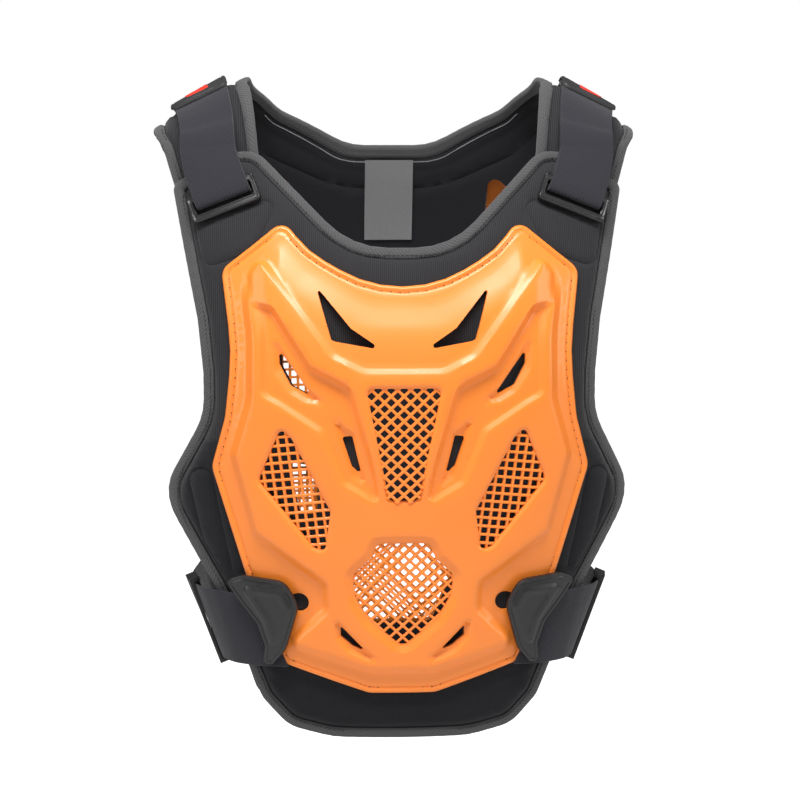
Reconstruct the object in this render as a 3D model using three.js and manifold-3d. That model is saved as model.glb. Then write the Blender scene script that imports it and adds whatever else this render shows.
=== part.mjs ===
// Motocross chest protector, worn shape, in millimetres.
// +Z is up, the chest faces -Y, and the origin is the shoulder seat: midway between the shoulders,
// level with the crest on which the shoulder flaps rest.
import * as THREE from 'three';
import { mergeVertices } from 'three/addons/utils/BufferGeometryUtils.js';
import Module from 'manifold-3d';

const wasm = await Module();
wasm.setup();

// Torso that the protector is shaped around
const TORSO_HALF_WIDTH = 182;
const TORSO_DROP = 460;
const CHEST_DEPTH = 116;
const BACK_DEPTH = 108;
const CREST_HEIGHT = 9;
const SHOULDER_SLOPE = 0.56;
const SHOULDER_SLOPE_STARTS = 108;
const ARCH_FOOT_BACK = 45;
const ARCH_FOOT_FRONT = 38;
const ARCH_LENGTH = 150;

// Front pad
const PAD_HALF_WIDTH = 162;
const PAD_TOP = 40.5;
const PAD_HEIGHT = 419;
const PAD_THICKNESS = 9.5;

// Back pad with its shoulder flaps
const BACK_HALF_WIDTH = 178;
const BACK_HEIGHT = 475;
const FLAP_REACH = 42;
const BACK_THICKNESS = 8;

// Edge binding tape
const TAPE_WIDTH = 7.5;
const TAPE_THICKNESS = 1.2;
const TAPE_CLEARANCE = 0.4;
const EDGE_THICKNESS = 3.2;
const EDGE_LIFT = 2.2;
const EDGE_SLOPE = 6;
const PAD_WINDOW_MARGIN = 2;

// Moulded shells
const SHELL_HALF_WIDTH = 128;
const SHELL_TOP = 95;
const SHELL_HEIGHT = 328;
const BACK_SHELL_HALF_WIDTH = 112;
const BACK_SHELL_TOP = 40;
const BACK_SHELL_HEIGHT = 392;
const SHELL_WALL = 2.5;
const SHELL_CLEARANCE = 0.7;
const BODY_RISE = 5;
const BODY_SLOPE = 5;
const COLLAR_RISE = 3;
const COLLAR_SLOPE = 3;
const CHANNEL_DROP = 2.5;
const NET_PITCH = 18;
const BACK_NET_PITCH = 20;
const NET_BAR = 3;
const NET_THICKNESS = 2.2;
const NET_DROP = 2;
const ROUND_HOLE_RADIUS = 6.8;

// Shoulder straps, rings and pull tabs
const WEBBING_THICKNESS = 1.8;
const WEBBING_CLEARANCE = 0.8;
const LAYER_CLEARANCE = 0.4;
const STRAP_WIDTH = 38;
const STRAP_CREST = 139;
const STRAP_LENGTH = 190;
const STRAP_FOLDED_LENGTH = 126;
const RING_BAR = 6;
const RING_THICKNESS = 5.4;
const RING_SLOT = 9;
const RING_SIDE_CLEARANCE = 1.2;
const RING_SIDE_BAR = 4;
const TAB_LENGTH = 44;
const TAB_THICKNESS = 3;
const TAB_OVERHANG = 2.5;

// Side straps, retainers and sliders
const SIDE_STRAP_WIDTH = 57;
const SIDE_STRAP_REACH = 140;
const SIDE_STRAP_DEPTH = 88;
const SIDE_STRAP_DROP = 381;
const RETAINER_WIDTH = 47;
const RETAINER_HEIGHT = 64;
const RETAINER_THICKNESS = 4.6;
const RETAINER_CLEARANCE = 0.5;
const STUD_RADIUS = 5;
const STUD_CLEARANCE = 0.6;
const STRAP_BOW = 0.6;
const SLIDER_LENGTH = 26;
const SLIDER_BAR = 5;
const SLIDER_THICKNESS = 2.6;
const SLIDER_RAIL = 3.5;
const SLIDER_PLACE = 80;
const RETAINER_STEP = 1.6;
const RETAINER_BEVEL = 1;

// Care label
const LABEL_WIDTH = 37;
const LABEL_LENGTH = 62;
const LABEL_THICKNESS = 0.8;
const LABEL_CLEARANCE = 0.4;

// Facets
const ARC_STEP = THREE.MathUtils.degToRad(60);
const SLICE_ANGLE = 18;
const ARCH_SLICE = 25;
const SMALLEST_RADIUS = 0.3;
const SMALLEST_TRIM = 1.1;
const BEYOND = 5;
const SMALLEST_SLICE = 5;
const NEAR_LINE = 0.04;
const FLAT_ENOUGH = 0.99999;
const SMALLEST_FACET = 1e-4;

const PAD_BACKING = BACK_THICKNESS + SHELL_CLEARANCE;
const SHELL_SEAT = PAD_THICKNESS + SHELL_CLEARANCE;

const COLOURS = {
  foam: { color: '#2b2b2e', roughness: 0.92, metalness: 0 },
  tape: { color: '#3a3b3e', roughness: 0.85, metalness: 0 },
  shell: { color: '#ff962f', roughness: 0.35, metalness: 0 },
  webbing: { color: '#1f2024', roughness: 0.9, metalness: 0 },
  hardware: { color: '#26272a', roughness: 0.5, metalness: 0 },
  rubber: { color: '#222326', roughness: 0.75, metalness: 0 },
  label: { color: '#3b3c40', roughness: 0.6, metalness: 0 },
};

// Torso sections from the shoulders down: share of the drop, of the half width and of each depth
const TORSO_SECTIONS = [
  { down: 0.0, width: 1.13, front: 0.45, back: 0.56 },
  { down: 0.083, width: 1.13, front: 0.51, back: 0.67 },
  { down: 0.13, width: 1.11, front: 0.6, back: 0.73 },
  { down: 0.24, width: 1.05, front: 0.82, back: 0.88 },
  { down: 0.35, width: 1.015, front: 0.965, back: 0.98 },
  { down: 0.46, width: 1.0, front: 1.0, back: 0.995 },
  { down: 0.65, width: 0.97, front: 0.95, back: 0.91 },
  { down: 0.87, width: 0.845, front: 0.845, back: 0.8 },
  { down: 1.05, width: 0.82, front: 0.74, back: 0.75 },
];

// Smooth value of one column at a height, from the slopes between neighbouring sections
function sectionValue(column, z) {
  const rows = TORSO_SECTIONS;
  const down = THREE.MathUtils.clamp(-z / TORSO_DROP, rows[0].down, rows[rows.length - 1].down);
  let i = 0;
  while (i < rows.length - 2 && down > rows[i + 1].down) i += 1;
  const slope = (k) => {
    const low = rows[Math.max(k - 1, 0)];
    const high = rows[Math.min(k + 1, rows.length - 1)];
    return (high[column] - low[column]) / (high.down - low.down);
  };
  const span = rows[i + 1].down - rows[i].down;
  const u = (down - rows[i].down) / span;
  const start = rows[i][column];
  const end = rows[i + 1][column];
  const a = slope(i) * span - (end - start);
  const b = -slope(i + 1) * span + (end - start);
  return (1 - u) * start + u * end + u * (1 - u) * (a * (1 - u) + b * u);
}

// Point on the torso where the front (side -1) or back (side +1) pad lies
function torsoPoint(x, z, side) {
  const halfWidth = TORSO_HALF_WIDTH * sectionValue('width', z);
  const depth = side < 0 ? CHEST_DEPTH * sectionValue('front', z) : BACK_DEPTH * sectionValue('back', z);
  const share = Math.min(Math.abs(x) / halfWidth, 0.985);
  return new THREE.Vector3(x, side * depth * Math.sqrt(1 - share * share), z);
}

// Outward normal of a surface given as a function of two lengths
function surfaceNormal(surface, p, q, outward) {
  const step = 0.5;
  const alongP = surface(p + step, q).sub(surface(p - step, q));
  const alongQ = surface(p, q + step).sub(surface(p, q - step));
  const normal = alongP.cross(alongQ).normalize();
  return normal.dot(outward) < 0 ? normal.negate() : normal;
}

const frontPoint = (x, z) => torsoPoint(x, z, -1);
const FORWARD = new THREE.Vector3(0, -1, 0);

// A flat point (across, up, out) laid on the chest
function onChest(x, z, out) {
  const normal = surfaceNormal(frontPoint, x, z, FORWARD);
  return frontPoint(x, z).addScaledVector(normal, out);
}

// Base of the back sheet: up the back, over the shoulder and down behind the front pad
function sheetPoint(x, along) {
  const footBack = (z) => torsoPoint(x, z, 1);
  const footFront = (z) => onChest(x, z, -PAD_BACKING);
  if (along <= 0) return footBack(-ARCH_FOOT_BACK + along);
  if (along >= ARCH_LENGTH) return footFront(-ARCH_FOOT_FRONT - (along - ARCH_LENGTH));
  const from = footBack(-ARCH_FOOT_BACK);
  const to = footFront(-ARCH_FOOT_FRONT);
  const risingBack = from.clone().sub(footBack(-ARCH_FOOT_BACK - 1)).normalize();
  const risingFront = to.clone().sub(footFront(-ARCH_FOOT_FRONT - 1)).normalize();
  const crest = CREST_HEIGHT - SHOULDER_SLOPE * Math.max(Math.abs(x) - SHOULDER_SLOPE_STARTS, 0);
  const bezierHeight = (3 / 8) * (risingBack.z + risingFront.z);
  const pull = (crest - (from.z + to.z) / 2) / bezierHeight;
  const curve = new THREE.CubicBezierCurve3(
    from, from.clone().addScaledVector(risingBack, pull),
    to.clone().addScaledVector(risingFront, pull), to,
  );
  return curve.getPoint(along / ARCH_LENGTH);
}

// A flat point (across, along, out) laid on the back and shoulders
function onSheet(x, along, out) {
  const base = sheetPoint(x, along);
  const fromInside = base.clone().setX(0).setZ(base.z + 2 * ARCH_FOOT_BACK);
  const normal = surfaceNormal(sheetPoint, x, along, fromInside);
  return base.addScaledVector(normal, out);
}

// Cell of a grid at a place: its column and row, shares across and up, and side of its diagonal
function cellAt(grid, x, y) {
  const find = (values, value) => {
    let i = 0;
    while (i < values.length - 2 && value > values[i + 1]) i += 1;
    return [i, (value - values[i]) / (values[i + 1] - values[i])];
  };
  const [i, u] = find(grid.columns, x);
  if (!grid.rows) return { i, j: 0, u, v: 0, past: 0 };
  const [j, v] = find(grid.rows, y);
  return { i, j, u, v, past: grid.rising[i][j] ? v - u : u + v - 1 };
}

// Surface in flat triangles: each cell of the grid folds along its outer diagonal
function gridOf(place, columns, rows) {
  const crossings = columns.map((x) => rows.map((y) => [place(x, y, 0), place(x, y, 1)]));
  const rising = columns.slice(1).map((_, i) => rows.slice(1).map((__, j) => {
    const [a, b, c, d] = [crossings[i][j], crossings[i + 1][j + 1], crossings[i + 1][j], crossings[i][j + 1]];
    const outward = a[1].clone().sub(a[0]);
    return a[0].clone().add(b[0]).sub(c[0]).sub(d[0]).dot(outward) > 0;
  }));
  return { columns, rows, rising, crossings };
}

function onGrid(grid, x, y, out) {
  const { i, j, u, v, past } = cellAt(grid, x, y);
  const at = (k, l) => {
    const [base, tip] = grid.crossings[i + k][j + l];
    return base.clone().lerp(tip, out);
  };
  const from = (corner, [sideA, shareA], [sideB, shareB]) => corner.clone()
    .addScaledVector(sideA.sub(corner), shareA).addScaledVector(sideB.sub(corner), shareB);
  if (grid.rising[i][j]) {
    return past > 0
      ? from(at(0, 1), [at(0, 0), 1 - v], [at(1, 1), u])
      : from(at(1, 0), [at(0, 0), 1 - u], [at(1, 1), v]);
  }
  return past > 0
    ? from(at(1, 1), [at(0, 1), 1 - u], [at(1, 0), 1 - v])
    : from(at(0, 0), [at(1, 0), u], [at(0, 1), v]);
}

// Corners grown outward by a distance; each edge moves and the rounding follows
function grownCorners(corners, grow) {
  const count = corners.length;
  const area = corners.reduce((sum, c, i) => {
    const next = corners[(i + 1) % count];
    return sum + c.x * next.y - next.x * c.y;
  }, 0);
  const ring = area < 0 ? [...corners].reverse() : corners;
  return ring.map((corner, i) => {
    const before = ring[(i + count - 1) % count];
    const after = ring[(i + 1) % count];
    const into = new THREE.Vector2(corner.x - before.x, corner.y - before.y).normalize();
    const out = new THREE.Vector2(after.x - corner.x, after.y - corner.y).normalize();
    const turn = Math.atan2(into.cross(out), into.dot(out));
    const shift = grow / Math.cos(turn / 2);
    const side = new THREE.Vector2(into.y + out.y, -into.x - out.x).normalize();
    const round = Math.max(corner.round + Math.sign(turn) * grow, SMALLEST_RADIUS);
    const sharp = corner.round * (1 / Math.cos(turn / 2) - 1) < SMALLEST_TRIM;
    return { x: corner.x + side.x * shift, y: corner.y + side.y * shift, round, turn, into, out, sharp };
  });
}

// Closed outline with rounded corners, as points
function outline(corners, grow = 0) {
  const ring = grownCorners(corners, grow);
  const count = ring.length;
  const edge = (i) => Math.hypot(
    ring[(i + 1) % count].x - ring[i % count].x, ring[(i + 1) % count].y - ring[i % count].y,
  );
  const points = [];
  ring.forEach((corner, i) => {
    const halfTurn = Math.abs(corner.turn) / 2;
    const room = 0.49 * Math.min(edge(i), edge(i + count - 1));
    const tangent = Math.min(corner.round * Math.tan(halfTurn), room);
    const radius = tangent / Math.max(Math.tan(halfTurn), 1e-6);
    if (corner.sharp) {
      points.push(new THREE.Vector2(corner.x, corner.y));
      return;
    }
    const steps = Math.max(1, Math.ceil(Math.abs(corner.turn) / ARC_STEP));
    const start = new THREE.Vector2(corner.x, corner.y).addScaledVector(corner.into, -tangent);
    const bend = Math.sign(corner.turn);
    const centre = start.clone().add(
      new THREE.Vector2(-corner.into.y, corner.into.x).multiplyScalar(bend * radius),
    );
    for (let k = 0; k <= steps; k += 1) {
      points.push(start.clone().rotateAround(centre, (corner.turn * k) / steps));
    }
  });
  return points;
}

// Rows of one half, from the top middle to the bottom middle, made into a whole outline
function wholeFromHalf(rows, chart) {
  const right = rows.map((row) => chart(row.across, row.down, row.round));
  const left = right.map((corner) => ({ ...corner, x: -corner.x })).reverse();
  return [...right, ...left];
}

const rightSide = (rows, chart) => rows.map((row) => chart(row.across, row.down, row.round));
const mirrored = (corners) => corners.map((corner) => ({ ...corner, x: -corner.x }));

// Solid through layers of one outline: each layer has its growth and its height
function layered(corners, layers) {
  const rings = layers.map((layer) => outline(corners, layer.grow));
  const count = rings[0].length;
  const points = rings.flatMap((ring, k) => ring.map((p) => [p.x, p.y, layers[k].out]));
  const faces = [];
  const top = (layers.length - 1) * count;
  THREE.ShapeUtils.triangulateShape(rings[0], []).forEach(([a, b, c]) => faces.push([a, c, b]));
  THREE.ShapeUtils.triangulateShape(rings[rings.length - 1], [])
    .forEach(([a, b, c]) => faces.push([top + a, top + b, top + c]));
  for (let k = 0; k + 1 < layers.length; k += 1) {
    for (let i = 0; i < count; i += 1) {
      const a = k * count + i;
      const b = k * count + ((i + 1) % count);
      faces.push([a, b, b + count], [a, b + count, a + count]);
    }
  }
  return solidOf(points, faces);
}

const straight = (corners, grow, from, to) => layered(corners, [{ grow, out: from }, { grow, out: to }]);

function solidOf(points, faces) {
  const geometry = new THREE.BufferGeometry();
  geometry.setAttribute('position', new THREE.Float32BufferAttribute(points.flat(), 3));
  geometry.setIndex(faces.flat());
  const merged = mergeVertices(geometry, 1e-4);
  const triVerts = [];
  const index = merged.index.array;
  for (let i = 0; i < index.length; i += 3) {
    const [a, b, c] = [index[i], index[i + 1], index[i + 2]];
    if (a !== b && b !== c && c !== a) triVerts.push(a, b, c);
  }
  return new wasm.Manifold(new wasm.Mesh({
    numProp: 3,
    vertProperties: new Float32Array(merged.attributes.position.array),
    triVerts: new Uint32Array(triVerts),
  }));
}

// Flat box from two opposite corners
function block(low, high) {
  const size = high.map((value, i) => value - low[i]);
  const box = new THREE.BoxGeometry(...size).translate(...low.map((value, i) => value + size[i] / 2));
  box.deleteAttribute('normal');
  box.deleteAttribute('uv');
  const merged = mergeVertices(box);
  return new wasm.Manifold(new wasm.Mesh({
    numProp: 3,
    vertProperties: new Float32Array(merged.attributes.position.array),
    triVerts: new Uint32Array(merged.index.array),
  }));
}

const joined = (solids) => solids.reduce((sum, solid) => sum.add(solid));
const cutBy = (solid, cutters) => cutters.reduce((left, cutter) => left.subtract(cutter), solid);

// Facets of a solid, divided along the lines of a grid so that it can bend
function divided(solid, grid) {
  const mesh = solid.getMesh();
  const points = [];
  for (let i = 0; i < mesh.vertProperties.length; i += 3) {
    points.push([...mesh.vertProperties.slice(i, i + 3)]);
  }
  let faces = [];
  for (let i = 0; i < mesh.triVerts.length; i += 3) faces.push([...mesh.triVerts.slice(i, i + 3)]);
  const cut = (heightsOf) => {
    const middles = new Map();
    const next = [];
    faces.forEach((face) => {
      const heights = heightsOf(face);
      const sides = heights.map(Math.sign);
      if (!sides.includes(1) || !sides.includes(-1)) {
        next.push(face);
        return;
      }
      const middle = (k, l) => {
        const [a, b] = [face[k], face[l]];
        const key = a < b ? `${a} ${b}` : `${b} ${a}`;
        if (!middles.has(key)) {
          const share = heights[k] / (heights[k] - heights[l]);
          points.push(points[a].map((value, axis) => value + share * (points[b][axis] - value)));
          middles.set(key, points.length - 1);
        }
        return middles.get(key);
      };
      const onLine = sides.indexOf(0);
      if (onLine >= 0) {
        const [k, l, m] = [0, 1, 2].map((step) => (onLine + step) % 3);
        const cross = middle(l, m);
        next.push([face[k], face[l], cross], [face[k], cross, face[m]]);
        return;
      }
      const lone = sides.findIndex((side, i) => side !== sides[(i + 1) % 3] && side !== sides[(i + 2) % 3]);
      const [k, l, m] = [0, 1, 2].map((step) => (lone + step) % 3);
      const [p, q] = [middle(k, l), middle(k, m)];
      next.push([face[k], p, q], [p, face[l], face[m]], [p, face[m], q]);
    });
    faces = next;
  };
  [grid.columns, grid.rows ?? []].forEach((places, axis) => places.forEach((place) => {
    points.forEach((point) => {
      if (Math.abs(point[axis] - place) < NEAR_LINE) point[axis] = place;
    });
    cut((face) => face.map((i) => points[i][axis] - place));
  }));
  if (grid.rows) {
    cut((face) => {
      const { i, j } = cellAt(grid, ...middleOf(points, face));
      const width = grid.columns[i + 1] - grid.columns[i];
      const height = grid.rows[j + 1] - grid.rows[j];
      return face.map((corner) => {
        const u = (points[corner][0] - grid.columns[i]) / width;
        const v = (points[corner][1] - grid.rows[j]) / height;
        const past = grid.rising[i][j] ? v - u : u + v - 1;
        return Math.abs(past) * Math.min(width, height) < NEAR_LINE ? 0 : past;
      });
    });
  }
  return { points, faces };
}

const middleOf = (points, face) => [0, 1].map((axis) => face.reduce((sum, i) => sum + points[i][axis], 0) / 3);

// Facets gathered into patches that are flat and lie between the same cuts, each with its rim
function patchesOf(points, faces, grid) {
  const corner = points.map((p) => new THREE.Vector3(...p));
  const areas = faces.map(([a, b, c]) => corner[b].clone().sub(corner[a]).cross(corner[c].clone().sub(corner[a])));
  const normals = areas.map((area) => area.clone().normalize());
  const cells = faces.map((face) => {
    const { i, j, past } = cellAt(grid, ...middleOf(points, face));
    return `${i} ${j} ${Math.sign(past)}`;
  });
  const owner = new Map();
  const sidesOf = (face) => face.map((a, k) => [a, face[(k + 1) % 3]]);
  faces.forEach((face, f) => sidesOf(face).forEach(([a, b]) => owner.set(`${a} ${b}`, f)));
  const leader = faces.map((_, f) => f);
  const patchOf = (f) => (leader[f] === f ? f : patchOf(leader[f]));
  faces.forEach((face, f) => sidesOf(face).forEach(([a, b]) => {
    const g = owner.get(`${b} ${a}`);
    if (cells[f] === cells[g] && normals[f].dot(normals[g]) > FLAT_ENOUGH) leader[patchOf(f)] = patchOf(g);
  }));
  return [...Map.groupBy(faces.keys(), patchOf).values()].map((members) => {
    const next = new Map();
    let pinched = false;
    members.forEach((f) => sidesOf(faces[f]).forEach(([a, b]) => {
      if (patchOf(owner.get(`${b} ${a}`)) === patchOf(f)) return;
      pinched = pinched || next.has(a);
      next.set(a, b);
    }));
    const rims = [];
    while (next.size > 0 && !pinched) {
      const rim = [];
      for (let [a] = next.keys(); next.has(a);) {
        rim.push(a);
        const b = next.get(a);
        next.delete(a);
        a = b;
      }
      rims.push(rim);
    }
    const normal = members.reduce((sum, f) => sum.add(areas[f]), new THREE.Vector3()).normalize();
    return { members, rims, normal, fixed: pinched };
  });
}

// Facets of one flat patch inside its rims, or nothing where they can't be laid cleanly
function facetsOf(points, rims, normal) {
  const size = normal.toArray().map(Math.abs);
  const drop = size.indexOf(Math.max(...size));
  const [u, v] = [(drop + 1) % 3, (drop + 2) % 3];
  const facing = Math.sign(normal.toArray()[drop]);
  const flat = rims.map((rim) => rim.map((i) => new THREE.Vector2(points[i][u], points[i][v])));
  const order = rims.map((_, i) => i).sort(
    (i, j) => Math.abs(THREE.ShapeUtils.area(flat[j])) - Math.abs(THREE.ShapeUtils.area(flat[i])),
  );
  const [rim, ...holes] = order.map((i) => flat[i]);
  const index = order.flatMap((i) => rims[i]);
  const place = order.flatMap((i) => flat[i]);
  const facets = THREE.ShapeUtils.triangulateShape(rim, holes).map(([a, b, c]) => {
    const area = place[b].clone().sub(place[a]).cross(place[c].clone().sub(place[a])) * facing;
    return { area: Math.abs(area), corners: (area < 0 ? [a, c, b] : [a, b, c]).map((i) => index[i]) };
  });
  const wanted = index.length + 2 * holes.length - 2;
  if (facets.length !== wanted || facets.some((facet) => facet.area < SMALLEST_FACET)) return null;
  return facets.map((facet) => facet.corners);
}

// The same solid with no points to spare: a point stays where a rim turns or where rims meet
function tidied({ points, faces }, grid) {
  const patches = patchesOf(points, faces, grid);
  const users = new Map();
  patches.forEach((patch) => new Set(patch.members.flatMap((f) => faces[f])).forEach((i) => {
    users.set(i, [...(users.get(i) ?? []), patch]);
  }));
  const straightAt = (rim, k) => {
    const [a, b, c] = [rim[(k + rim.length - 1) % rim.length], rim[k], rim[(k + 1) % rim.length]]
      .map((i) => new THREE.Vector3(...points[i]));
    return b.clone().sub(a).normalize().dot(c.sub(b).normalize()) > FLAT_ENOUGH;
  };
  const bends = new Set();
  patches.forEach((patch) => patch.rims.forEach((rim) => rim.forEach((i, k) => {
    if (!straightAt(rim, k)) bends.add(i);
  })));
  const spare = (i) => users.get(i).length < 3 && !bends.has(i) && users.get(i).every((patch) => !patch.fixed);
  for (;;) {
    const laid = patches.map((patch) => {
      if (patch.fixed) return patch.members.map((f) => faces[f]);
      const rims = patch.rims.map((rim) => rim.filter((i) => !spare(i)));
      return rims.every((rim) => rim.length > 2) ? facetsOf(points, rims, patch.normal) : null;
    });
    if (!laid.includes(null)) return { points, faces: laid.flat() };
    patches.forEach((patch, i) => {
      patch.fixed = patch.fixed || laid[i] === null;
    });
  }
}

// Flat solid divided along a grid and moved point by point
function moved(solid, grid, place) {
  const { points, faces } = tidied(divided(solid, grid), grid);
  return solidOf(points.map((p) => place(...p).toArray()), faces);
}

// Geometry of a flat solid bent onto a surface, its faces turned outward
function bent(solid, grid, place) {
  const { points, faces } = tidied(divided(solid, grid), grid);
  const laid = points.map(([x, y, out]) => place(x, y, out));
  let volume = 0;
  faces.forEach(([a, b, c]) => {
    volume += laid[a].dot(new THREE.Vector3().crossVectors(laid[b], laid[c]));
  });
  const corners = faces.flatMap(([a, b, c]) => (volume < 0 ? [a, c, b] : [a, b, c]));
  const geometry = new THREE.BufferGeometry().setFromPoints(corners.map((i) => laid[i]));
  const merged = mergeVertices(geometry, 1e-4);
  merged.computeVertexNormals();
  return merged;
}

const evenSteps = (from, to, step) => {
  const count = Math.ceil((to - from) / step);
  return Array.from({ length: count + 1 }, (_, i) => from + ((to - from) * i) / count);
};

// Columns and rows on which the torso's surface is faceted
const gridColumns = evenSteps(-90, 90, SLICE_ANGLE)
  .map((angle) => TORSO_HALF_WIDTH * Math.sin(THREE.MathUtils.degToRad(angle)));
const sectionsBelow = (foot) => TORSO_SECTIONS.map((row) => row.down * TORSO_DROP - foot)
  .filter((drop) => drop > SMALLEST_SLICE);
const frontRows = [0, ...sectionsBelow(ARCH_FOOT_FRONT)].map((drop) => -ARCH_FOOT_FRONT - drop).reverse();
const sheetRows = [
  ...sectionsBelow(ARCH_FOOT_BACK).map((drop) => -drop).reverse(),
  ...evenSteps(0, ARCH_LENGTH, ARCH_SLICE),
  ...sectionsBelow(ARCH_FOOT_FRONT).slice(0, 2).map((drop) => ARCH_LENGTH + drop),
];
const chestGrid = gridOf(onChest, gridColumns, frontRows);
const sheetGrid = gridOf(onSheet, gridColumns, sheetRows);

const padChart = (across, down, round) => ({
  x: across * PAD_HALF_WIDTH, y: -PAD_TOP - down * PAD_HEIGHT, round,
});
const shellChart = (across, down, round) => ({
  x: across * SHELL_HALF_WIDTH, y: -SHELL_TOP - down * SHELL_HEIGHT, round,
});

// Front pad outline: neckline, strap corner, armhole, wing, waist, hem
const PAD_ROWS = [
  { across: 0.216, down: 0.162, round: 60 },
  { across: 0.623, down: 0.0, round: 25 },
  { across: 0.728, down: 0.0, round: 30 },
  { across: 0.991, down: 0.056, round: 8 },
  { across: 0.852, down: 0.326, round: 200 },
  { across: 0.849, down: 0.443, round: 50 },
  { across: 1.038, down: 0.585, round: 36 },
  { across: 0.802, down: 0.746, round: 60 },
  { across: 0.602, down: 0.937, round: 18 },
  { across: 0.488, down: 0.984, round: 25 },
  { across: 0.296, down: 1.0, round: 60 },
];

// Shell outline: neckline, shoulder horn, shoulder corner, waist, wing, lower corner, tail
const SHELL_ROWS = [
  { across: 0.18, down: 0.127, round: 50 },
  { across: 0.5, down: 0.055, round: 15 },
  { across: 0.633, down: -0.009, round: 8 },
  { across: 0.957, down: 0.091, round: 9 },
  { across: 0.898, down: 0.259, round: 150 },
  { across: 0.934, down: 0.4, round: 30 },
  { across: 1.006, down: 0.509, round: 14 },
  { across: 0.828, down: 0.741, round: 100 },
  { across: 0.633, down: 0.938, round: 6 },
  { across: 0.176, down: 1.0, round: 14 },
];

// Raised body of the shell, with the strap retainer's seat left low at its lower corner
const BODY_ROWS = [
  { across: 0.188, down: 0.162, round: 40 },
  { across: 0.49, down: 0.092, round: 20 },
  { across: 0.633, down: 0.034, round: 8 },
  { across: 0.84, down: 0.098, round: 8 },
  { across: 0.797, down: 0.229, round: 60 },
  { across: 0.797, down: 0.357, round: 30 },
  { across: 0.883, down: 0.479, round: 10 },
  { across: 0.773, down: 0.646, round: 5 },
  { across: 0.406, down: 0.753, round: 6 },
  { across: 0.398, down: 0.811, round: 6 },
  { across: 0.594, down: 0.893, round: 5 },
  { across: 0.156, down: 0.948, round: 30 },
];

// Collar arms that run from the shoulder corners into the middle column
const COLLAR_ROWS = [
  { across: 0.203, down: 0.299, round: 12 },
  { across: 0.36, down: 0.27, round: 12 },
  { across: 0.72, down: 0.082, round: 4 },
  { across: 0.734, down: 0.168, round: 4 },
  { across: 0.68, down: 0.174, round: 5 },
  { across: 0.484, down: 0.29, round: 6 },
  { across: 0.281, down: 0.33, round: 10 },
  { across: 0.102, down: 0.588, round: 4 },
];

// Sunk channel under each collar arm
const CHANNEL_ROWS = [
  { across: 0.719, down: 0.15, round: 2 },
  { across: 0.723, down: 0.345, round: 6 },
  { across: 0.64, down: 0.362, round: 6 },
  { across: 0.42, down: 0.419, round: 8 },
  { across: 0.305, down: 0.53, round: 5 },
  { across: 0.133, down: 0.57, round: 2 },
  { across: 0.2, down: 0.33, round: 4 },
  { across: 0.4, down: 0.26, round: 4 },
];

// Openings of the shell, right side or whole
const EYE_VENT_ROWS = [
  { across: 0.436, down: 0.142, round: 0.5 },
  { across: 0.367, down: 0.229, round: 1 },
  { across: 0.35, down: 0.231, round: 1 },
  { across: 0.152, down: 0.243, round: 1 },
  { across: 0.281, down: 0.209, round: 1 },
];
const UPPER_VENT_ROWS = [
  { across: 0.647, down: 0.258, round: 1 },
  { across: 0.582, down: 0.29, round: 1 },
  { across: 0.48, down: 0.347, round: 1 },
  { across: 0.587, down: 0.326, round: 2 },
  { across: 0.645, down: 0.283, round: 2 },
];
const MIDDLE_VENT_ROWS = [
  { across: 0.318, down: 0.435, round: 1 },
  { across: 0.272, down: 0.433, round: 1 },
  { across: 0.225, down: 0.512, round: 1 },
  { across: 0.268, down: 0.496, round: 2 },
];
const LOWER_VENT_ROWS = [
  { across: 0.322, down: 0.847, round: 1 },
  { across: 0.3, down: 0.856, round: 1 },
  { across: 0.198, down: 0.9, round: 1 },
  { across: 0.26, down: 0.889, round: 1 },
  { across: 0.321, down: 0.868, round: 1 },
];
const COLUMN_WINDOW_ROWS = [
  { across: 0.195, down: 0.33, round: 4 },
  { across: 0.074, down: 0.569, round: 4 },
];
const SIDE_WINDOW_ROWS = [
  { across: 0.636, down: 0.408, round: 6 },
  { across: 0.57, down: 0.437, round: 8 },
  { across: 0.37, down: 0.592, round: 6 },
  { across: 0.4, down: 0.685, round: 4 },
  { across: 0.47, down: 0.675, round: 5 },
  { across: 0.762, down: 0.53, round: 6 },
];
const SHIELD_ROWS = [
  { across: 0.161, down: 0.65, round: 3 },
  { across: 0.2, down: 0.69, round: 4 },
  { across: 0.299, down: 0.728, round: 3 },
  { across: 0.286, down: 0.782, round: 12 },
  { across: 0.206, down: 0.839, round: 12 },
  { across: 0.03, down: 0.9, round: 6 },
];
const ROUND_HOLE = { across: 0.548, down: 0.798 };
const STUD = { across: 0.63, down: 0.82 };

const shellSolidLevels = {
  flange: SHELL_SEAT + SHELL_WALL,
  body: SHELL_SEAT + SHELL_WALL + BODY_RISE,
  collar: SHELL_SEAT + SHELL_WALL + BODY_RISE + COLLAR_RISE,
  channel: SHELL_SEAT + SHELL_WALL + BODY_RISE - CHANNEL_DROP,
};

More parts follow.
